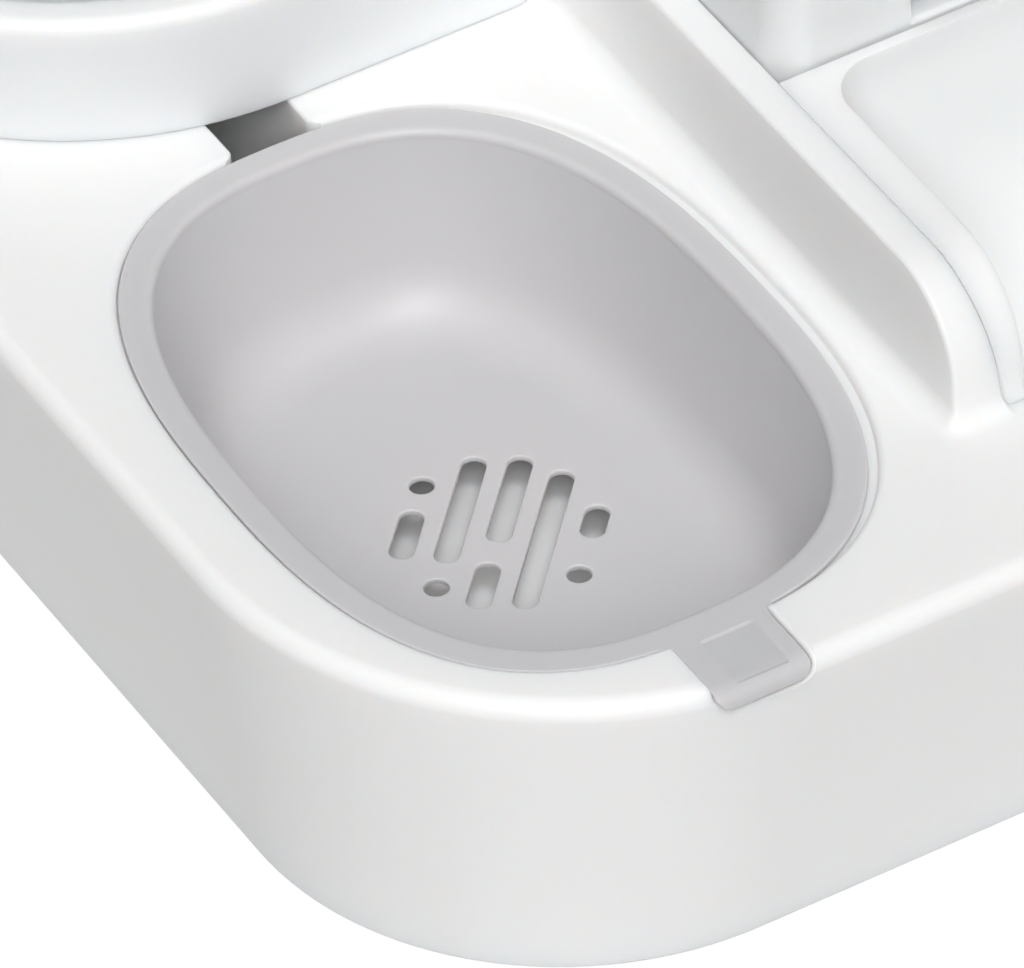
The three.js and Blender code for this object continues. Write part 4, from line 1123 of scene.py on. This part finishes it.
def valve_parts():
    foot_z = CAP_INSIDE + gap.seat
    soft_edge = cap.gasket_thickness / 4
    gasket = flat_ring("gasket_ring", bottle.neck_radius - 2 * bottle.wall, bottle.neck_radius,
                       foot_z, foot_z + cap.gasket_thickness, soft_edge)
    dress(gasket, "cap", "cap_gasket", "silicone")

    roof, wall = foot_z + valve.cage_height, valve.cage_wall
    outside, guide = valve.cage_radius, valve.stem_radius + gap.slide
    cage = turned("three_legged_cage", CELL_X, DOCK_Y, [
        (outside - wall, foot_z), (outside, foot_z),
        *[(outside - i, z) for i, z in round_top(wall, roof)],
        (guide, roof), (guide, roof - wall), (outside - 2 * wall, roof - wall),
        (outside - wall, roof - 2 * wall),
    ], looped=True)
    pitch = 2 * pi / valve.legs
    windows = []
    for leg in range(valve.legs):
        start, sweep = pitch * leg, pitch - valve.leg_width / outside
        fan = [(CELL_X, DOCK_Y)]
        fan += [(CELL_X + 2 * outside * cos(start + sweep * share),
                 DOCK_Y + 2 * outside * sin(start + sweep * share)) for share in along(HOLE_STEPS)]
        windows.append(loft("window", [[(x, y, z) for x, y in fan]
                                       for z in (foot_z + wall, roof - 2 * wall)]))
    cut(cage, *windows)
    dress(cage, "cap", "valve_cage", "white_plastic")

    disc_top = DISC_FOOT + valve.disc_thickness
    tip_foot = VALVE_SEAT - valve.tip_reach
    disc_edge = valve.disc_thickness / 4
    stem = valve.stem_radius
    plunger = turned("valve_stem", CELL_X, DOCK_Y, [
        *[(valve.tip_radius - i, z) for i, z in round_foot(valve.tip_radius / 4, tip_foot)],
        (valve.tip_radius, DISC_FOOT),
        *[(valve.disc_radius - i, z) for i, z in round_foot(disc_edge, DISC_FOOT)],
        *[(valve.disc_radius - i, z) for i, z in round_top(disc_edge, disc_top)],
        *[(stem + off, disc_top + rise) for off, rise in hollow_edge(stem, stem)],
        *[(stem - i, z) for i, z in round_top(stem / 2, disc_top + valve.stem_above)],
    ], HOLE_STEPS)
    dress(plunger, "plunger", "valve_plunger", "white_plastic")

    washer_top = DISC_FOOT - gap.seat
    washer = flat_ring("washer_ring", valve.tip_radius + gap.seat, valve.washer_radius,
                       washer_top - valve.washer_thickness, washer_top, soft_edge)
    dress(washer, "plunger", "valve_washer", "silicone")


def valve_spring():
    """A coiled wire between the plunger's disc and the cage's roof."""
    low = DISC_FOOT + valve.disc_thickness + gap.seat + valve.spring_wire / 2
    high = CAP_INSIDE + valve.cage_height - valve.cage_wall - valve.spring_wire / 2
    steps = round(valve.spring_turns * ARC_STEPS)
    up = Vector((0, 0, 1))
    rings = []
    for share in along(steps):
        angle = share * valve.spring_turns * 2 * pi
        out = Vector((cos(angle), sin(angle), 0))
        spot = Vector((CELL_X, DOCK_Y, lerp(low, high, share))) + out * valve.spring_radius
        rings.append([spot + valve.spring_wire / 2 * (out * cos(a) + up * sin(a))
                      for a in full_turn(HOLE_STEPS)])
    spring = loft("coiled_spring", rings)
    dress(spring, "cap", "valve_spring", "steel")
    spring.modifiers.clear()
    anchor = (CELL_X * MM, DOCK_Y * MM, (high + valve.spring_wire / 2) * MM)
    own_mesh(spring)


# Food bowl


def food_bowl():
    foot_z = TOP - well.depth + gap.seat
    rim_z = CHEEK_TOP - gap.close
    front_y, back_y = CHEEK_FRONT + gap.close, WELL_BACK - gap.slide
    inner_front = front_y + bowl.wall
    floor_z = foot_z + bowl.wall
    lip_z = TOP + bowl.lip_rise
    floor_start = inner_front + bowl.front_fillet
    floor_end = floor_start + bowl.floor_length
    ramp_top = back_y - bowl.wall
    pull = (lerp(floor_end, ramp_top, bowl.pull_along), lerp(floor_z, rim_z, bowl.pull_up))
    inset = cheek.draft + well.draft + gap.slide + bowl.wall
    lip_edge = bowl.lip_edge

    rings = [well_ring(gap.close + i, z) for i, z in round_foot(bowl.foot_edge, foot_z)]
    rings += [well_ring(gap.close, TOP)]
    rings += [well_ring(gap.close + i, z) for i, z in round_top(bowl.rim_edge, rim_z)]
    outer = loft("food_bowl_liner", rings)

    nose = cheek.nose_radius - gap.close
    profile = [(front_y, foot_z - OVERRUN), (back_y, foot_z - OVERRUN), (back_y, rim_z + OVERRUN),
               (front_y + nose, rim_z + OVERRUN)]
    profile += [(front_y + nose - nose * sin(a), rim_z - nose + nose * cos(a))
                for a in quarter(4 * EDGE_STEPS)]
    common(outer, across_x("nose_block", profile, BAY_LEFT - OVERRUN, BAY_RIGHT + OVERRUN))

    def scoop_line(shrink):
        """The hollow's line from the lip down the front wall, along the floor and up the ramp."""
        radius = bowl.front_fillet - shrink
        line = [(front_y - 2 * bowl.side_round, lip_z), (inner_front - lip_edge, lip_z)]
        line += [(inner_front + shrink - off, lip_z - drop) for off, drop in hollow_edge(lip_edge, lip_edge)]
        line += [(floor_start - radius * cos(a), floor_z + bowl.front_fillet - radius * sin(a))
                 for a in quarter()]
        ramp = curve((floor_end, floor_z), pull, (ramp_top, rim_z - bowl.wall), 3 * EDGE_STEPS)
        for here, there in zip(ramp, ramp[1:]):
            run = Vector((there[0] - here[0], there[1] - here[1])).normalized()
            line.append((here[0] - run.y * shrink, here[1] + run.x * shrink))
        line += [(ramp_top - shrink, rim_z - bowl.wall), (ramp_top - shrink, rim_z + 2 * bowl.side_round),
                 (front_y - 2 * bowl.side_round, rim_z + 2 * bowl.side_round)]
        return line

    left_x, right_x = BAY_LEFT + inset, BAY_RIGHT - inset
    walls = [(bowl.side_round * (1 - cos(a)), bowl.side_round * (1 - sin(a)))
             for a in quarter(2 * EDGE_STEPS)]
    scoop = [[(left_x + run, y, z) for y, z in scoop_line(shrink)] for run, shrink in walls]
    scoop += [[(right_x - run, y, z) for y, z in scoop_line(shrink)] for run, shrink in reversed(walls)]
    cut(outer, loft("scoop", scoop))

    head = (ramp_top, rim_z - bowl.ramp_head * bowl.wall)
    under = [(floor_end, foot_z - OVERRUN), (ramp_top, foot_z - OVERRUN)]
    under += curve(head, (pull[0] + bowl.wall, pull[1] - bowl.wall),
                   (floor_end + bowl.wall, foot_z - gap.seat))
    cut(outer, across_x("under_ramp", under, left_x, right_x))
    dress(outer, "bowl", "food_bowl", "white_plastic")


# Hopper tower


def hopper_foot():
    flare_z = CHEEK_TOP + tower.flare_height
    sill = CHEEK_TOP + tower.sill_rise
    slope_end = SPLIT - tower.lip_depth - tower.wall
    edge = gap.slide
    heights = (TOWER_FOOT + edge, CHEEK_TOP, flare_z, SPLIT - edge)
    rings = [tower_ring(-edge, TOWER_FOOT)] + [tower_ring(0, z) for z in heights]
    rings.append(tower_ring(-edge, SPLIT))
    tower_wall = loft("hopper_tower", rings)

    def hollow(name, profile):
        levels = (TOWER_FOOT - OVERRUN, TOP, CHEEK_TOP, flare_z, SPLIT, SPLIT + OVERRUN)
        core = loft(name, [tower_ring(-tower.wall, z) for z in levels])
        return common(core, across_x("slice", profile, BAY_LEFT, BAY_RIGHT))

    above = [(WELL_BACK, sill), (BAY_BACK, slope_end), (BAY_BACK, SPLIT + 2 * OVERRUN),
             (WELL_BACK, SPLIT + 2 * OVERRUN)]
    below = [(WELL_BACK, TOWER_FOOT - 2 * OVERRUN), (BAY_BACK, TOWER_FOOT - 2 * OVERRUN),
             (BAY_BACK, slope_end - tower.wall), (WELL_BACK, sill - tower.wall)]
    half = BAY_RIGHT - tower.mouth_inset - BAY_X
    lintel = sill + tower.mouth_height
    corner = tower.mouth_corner

    def mouth_line(grow):
        radius = corner + grow
        line = [(BAY_X - half - grow, sill - grow), (BAY_X + half + grow, sill - grow)]
        for start, centre_x in ((0, BAY_X + half - corner), (1, BAY_X - half + corner)):
            for share in along(HOLE_STEPS):
                angle = (start + share) * pi / 2
                line.append((centre_x + radius * cos(angle), lintel - corner + radius * sin(angle)))
        return line

    depths = [(grow, run - SKIM) for grow, run in hollow_edge(tower.mouth_edge, tower.mouth_edge)]
    depths = [(tower.mouth_edge, -OVERRUN), *depths, (0, 3 * OVERRUN)]
    mouth = loft("mouth", [[(x, WELL_BACK + gap.slide + tower_inset(z) + run, z)
                            for x, z in mouth_line(grow)] for grow, run in depths])
    cut(tower_wall, hollow("grain_space", above), hollow("under_space", below), mouth)
    dress(tower_wall, "hopper", "hopper_base", "white_plastic")


def crosswise(name, from_x, to_x, radius, edge):
    """A bar along X on the hinge's axis with softened ends."""
    return loft(name, [
        [(x, PIN_Y + (radius - inset) * cos(a), PIN_Z + (radius - inset) * sin(a))
         for a in full_turn(2 * ARC_STEPS)]
        for inset, x in round_foot(edge, from_x) + round_top(edge, to_x)])


def block(name, edges, from_z, to_z):
    return loft(name, [corner_ring(edges, (hinge.edge,) * 4, z, BLOCK_STEPS) for z in (from_z, to_z)])


def food_tank():
    lip_foot = SPLIT - tower.lip_depth
    skin = tower.tank_wall
    edge = gap.seat
    half = hinge.lid_knuckle / 2 + gap.slide
    outside = [
        tower_ring(-LIP_INSET, lip_foot),
        tower_ring(-LIP_INSET, SPLIT + gap.seat),
        tower_ring(-edge, SPLIT + gap.seat),
        tower_ring(0, SPLIT + gap.seat + edge),
        tower_ring(0, SKIRT_FOOT - gap.seat - edge),
        tower_ring(-edge, SKIRT_FOOT - gap.seat),
        tower_ring(-LIP_INSET, SKIRT_FOOT - gap.seat),
        tower_ring(-LIP_INSET, TANK_TOP - edge),
        tower_ring(-LIP_INSET - edge, TANK_TOP),
    ]
    inside = [
        tower_ring(-LIP_INSET - skin, TANK_TOP + OVERRUN),
        tower_ring(-LIP_INSET - skin, SKIRT_FOOT - skin),
        tower_ring(-skin, SKIRT_FOOT - 2 * skin),
        tower_ring(-skin, SPLIT + 2 * skin),
        tower_ring(-LIP_INSET - skin, SPLIT + skin),
        tower_ring(-LIP_INSET - skin, lip_foot - OVERRUN),
    ]
    tank = loft("grain_tank", outside)
    ears = []
    for from_x, to_x in ((BAY_X - half - hinge.ear_length, BAY_X - half),
                         (BAY_X + half, BAY_X + half + hinge.ear_length)):
        ears.append(crosswise("ear", from_x, to_x, hinge.knuckle_radius, hinge.edge))
        ears.append(block("web", (from_x + hinge.edge, to_x - hinge.edge, PIN_Y - cheek.back_radius, PIN_Y),
                          PIN_Z - hinge.knuckle_radius + SKIM, PIN_Z))
    joined(tank, *ears)
    pin_hole = crosswise("pin_hole", BAY_LEFT, BAY_RIGHT, hinge.pin_radius + hinge.pin_gap, hinge.edge)
    cut(tank, loft("tank_space", list(reversed(inside))), pin_hole)
    dress(tank, "tank", "food_tank", "clear_plastic")


def hopper_lid():
    ceiling = TANK_TOP + lid.seal_height + 2 * gap.seat
    edge = hinge.edge
    rings = [tower_ring(-edge, SKIRT_FOOT), tower_ring(0, SKIRT_FOOT + edge)]
    rings += [tower_ring(-i, z) for i, z in round_top(lid.top_edge, LID_TOP, 2 * EDGE_STEPS)]
    shell = loft("tower_lid", rings)
    cut(shell, loft("lid_space", [tower_ring(-tower.wall, SKIRT_FOOT - OVERRUN),
                                  tower_ring(-tower.wall, ceiling)]))
    half = hinge.lid_knuckle / 2
    barrel = crosswise("barrel", BAY_X - half, BAY_X + half, hinge.knuckle_radius, edge)
    web = block("lid_web", (BAY_X - half + edge, BAY_X + half - edge,
                            TANK_BACK_Y - tower.wall / 2, PIN_Y + hinge.knuckle_radius - edge),
                PIN_Z, SKIRT_FOOT + hinge.knuckle_radius)
    joined(barrel, web)
    cut(barrel, block("spare", (BAY_X - half - OVERRUN, BAY_X + half + OVERRUN,
                                TANK_BACK_Y - 2 * tower.wall, TANK_BACK_Y + gap.seat),
                      PIN_Z - 2 * hinge.knuckle_radius, SKIRT_FOOT))
    lid_front = WELL_BACK + tower_inset(LID_TOP)
    grip_edges = (BAY_X - lid.grip_width / 2, BAY_X + lid.grip_width / 2,
                  lid_front - lid.grip_reach, lid_front + tower.wall / 2)
    grip_edge, grip_top = lid.grip_thickness / 3, SKIRT_FOOT + lid.grip_thickness
    grip = loft("lid_grip", [
        corner_ring(inset_edges(grip_edges, i), (lid.grip_reach - i,) * 2 + (gap.slide,) * 2, z)
        for i, z in round_foot(grip_edge, SKIRT_FOOT) + round_top(grip_edge, grip_top)])
    joined(shell, barrel, grip)
    cut(shell, crosswise("pin_hole", BAY_LEFT, BAY_RIGHT, hinge.pin_radius + hinge.pin_gap, edge))
    dress(shell, "lid", "hopper_lid", "white_plastic")


def lid_trim():
    foot_z = TANK_TOP + gap.seat
    section = soft_section(0, lid.seal_width, foot_z, foot_z + lid.seal_height, lid.seal_height / 4)
    seal = loft("seal_strip", [tower_ring(-LIP_INSET - inset, z) for inset, z in section], looped=True)
    dress(seal, "lid", "lid_seal", "silicone")
    half = hinge.lid_knuckle / 2 + gap.slide + hinge.ear_length
    pin = crosswise("hinge_pin", BAY_X - half, BAY_X + half, hinge.pin_radius, hinge.edge)
    dress(pin, "tank", "lid_hinge_pin", "steel")


# Studio

FLOOR_REACH = 30
AMBIENT = 0.25
FLOOR_TONE = 0.58
FLOOR_CHANGE = 0.01
FLOOR_BLOTCHES = 3
FLOOR_GLOW = 1.15
GLOW_SHARE = 0.85
LAMPS = {
    "front": (Vector((-0.36, -0.657, 0.662)), 1.42, 25),
    "high": (Vector((-0.15, -0.45, 0.87)), 1.08, 14),
    "back": (Vector((-0.3, 0.5, 0.8)), 0.15, 45),
}


def seen_directly(finish):
    """1 for what the camera sees, straight on or by gloss or glass, and 0 for light on the object."""
    rays = [finish.node("LightPath", {}, {}, out=out)
            for out in ("Is Camera Ray", "Is Glossy Ray", "Is Transmission Ray")]
    pair = finish.node("Math", {"operation": "MAXIMUM"}, {0: rays[0], 1: rays[1]})
    return finish.node("Math", {"operation": "MAXIMUM"}, {0: pair, 1: rays[2]})


def studio():
    scene = bpy.context.scene
    scene.view_settings.view_transform = "Standard"
    world = bpy.data.worlds.new("studio")
    scene.world = world
    room = Finish(world, "ShaderNodeOutputWorld")
    seen = seen_directly(room)
    light = room.node("Background", {}, {"Color": (1, 1, 1, 1), "Strength": AMBIENT})
    backdrop = room.node("Background", {}, {"Color": (1, 1, 1, 1), "Strength": 1})
    room.close(room.node("MixShader", {}, {0: seen, 1: light, 2: backdrop}))

    for name, (direction, strength, softness) in LAMPS.items():
        lamp = bpy.data.lights.new(name, "SUN")
        lamp.energy, lamp.angle = strength, radians(softness)
        lantern = bpy.data.objects.new(name, lamp)
        lantern.rotation_mode = "QUATERNION"
        lantern.rotation_quaternion = direction.to_track_quat("Z", "Y")
        scene.collection.objects.link(lantern)

    paper = new_material("pale paper")
    seen = seen_directly(paper)
    dark, light = (shade(*(FLOOR_TONE + change,) * 3) for change in (-FLOOR_CHANGE, FLOOR_CHANGE))
    tone = paper.mix(dark, light, paper.blotches(FLOOR_BLOTCHES))
    matte = paper.node("BsdfDiffuse", {}, {"Color": tone})
    glow = paper.node("Emission", {}, {"Color": (1, 1, 1, 1), "Strength": FLOOR_GLOW})
    paper.close(paper.node("MixShader", {}, {0: seen * GLOW_SHARE, 1: matte, 2: glow}))
    reach = FLOOR_REACH / MM
    floor = make_piece("studio_floor", [(-reach, -reach, 0), (reach, -reach, 0),
                                        (reach, reach, 0), (-reach, reach, 0)], [(0, 1, 2, 3)])
    floor.data.materials.append(paper.owner)


place_camera()
base_moulding()
floor_plate()
for place, (x, y) in FOOT_PLACES.items():
    rubber_foot(place, x, y)
for number, (x, y) in enumerate(SCREW_PLACES, 1):
    case_screw(number, x, y)
strainer_tray()
dock_collar()
water_bottle()
bottle_cap()
valve_parts()
valve_spring()
food_bowl()
hopper_foot()
food_tank()
hopper_lid()
lid_trim()
studio()
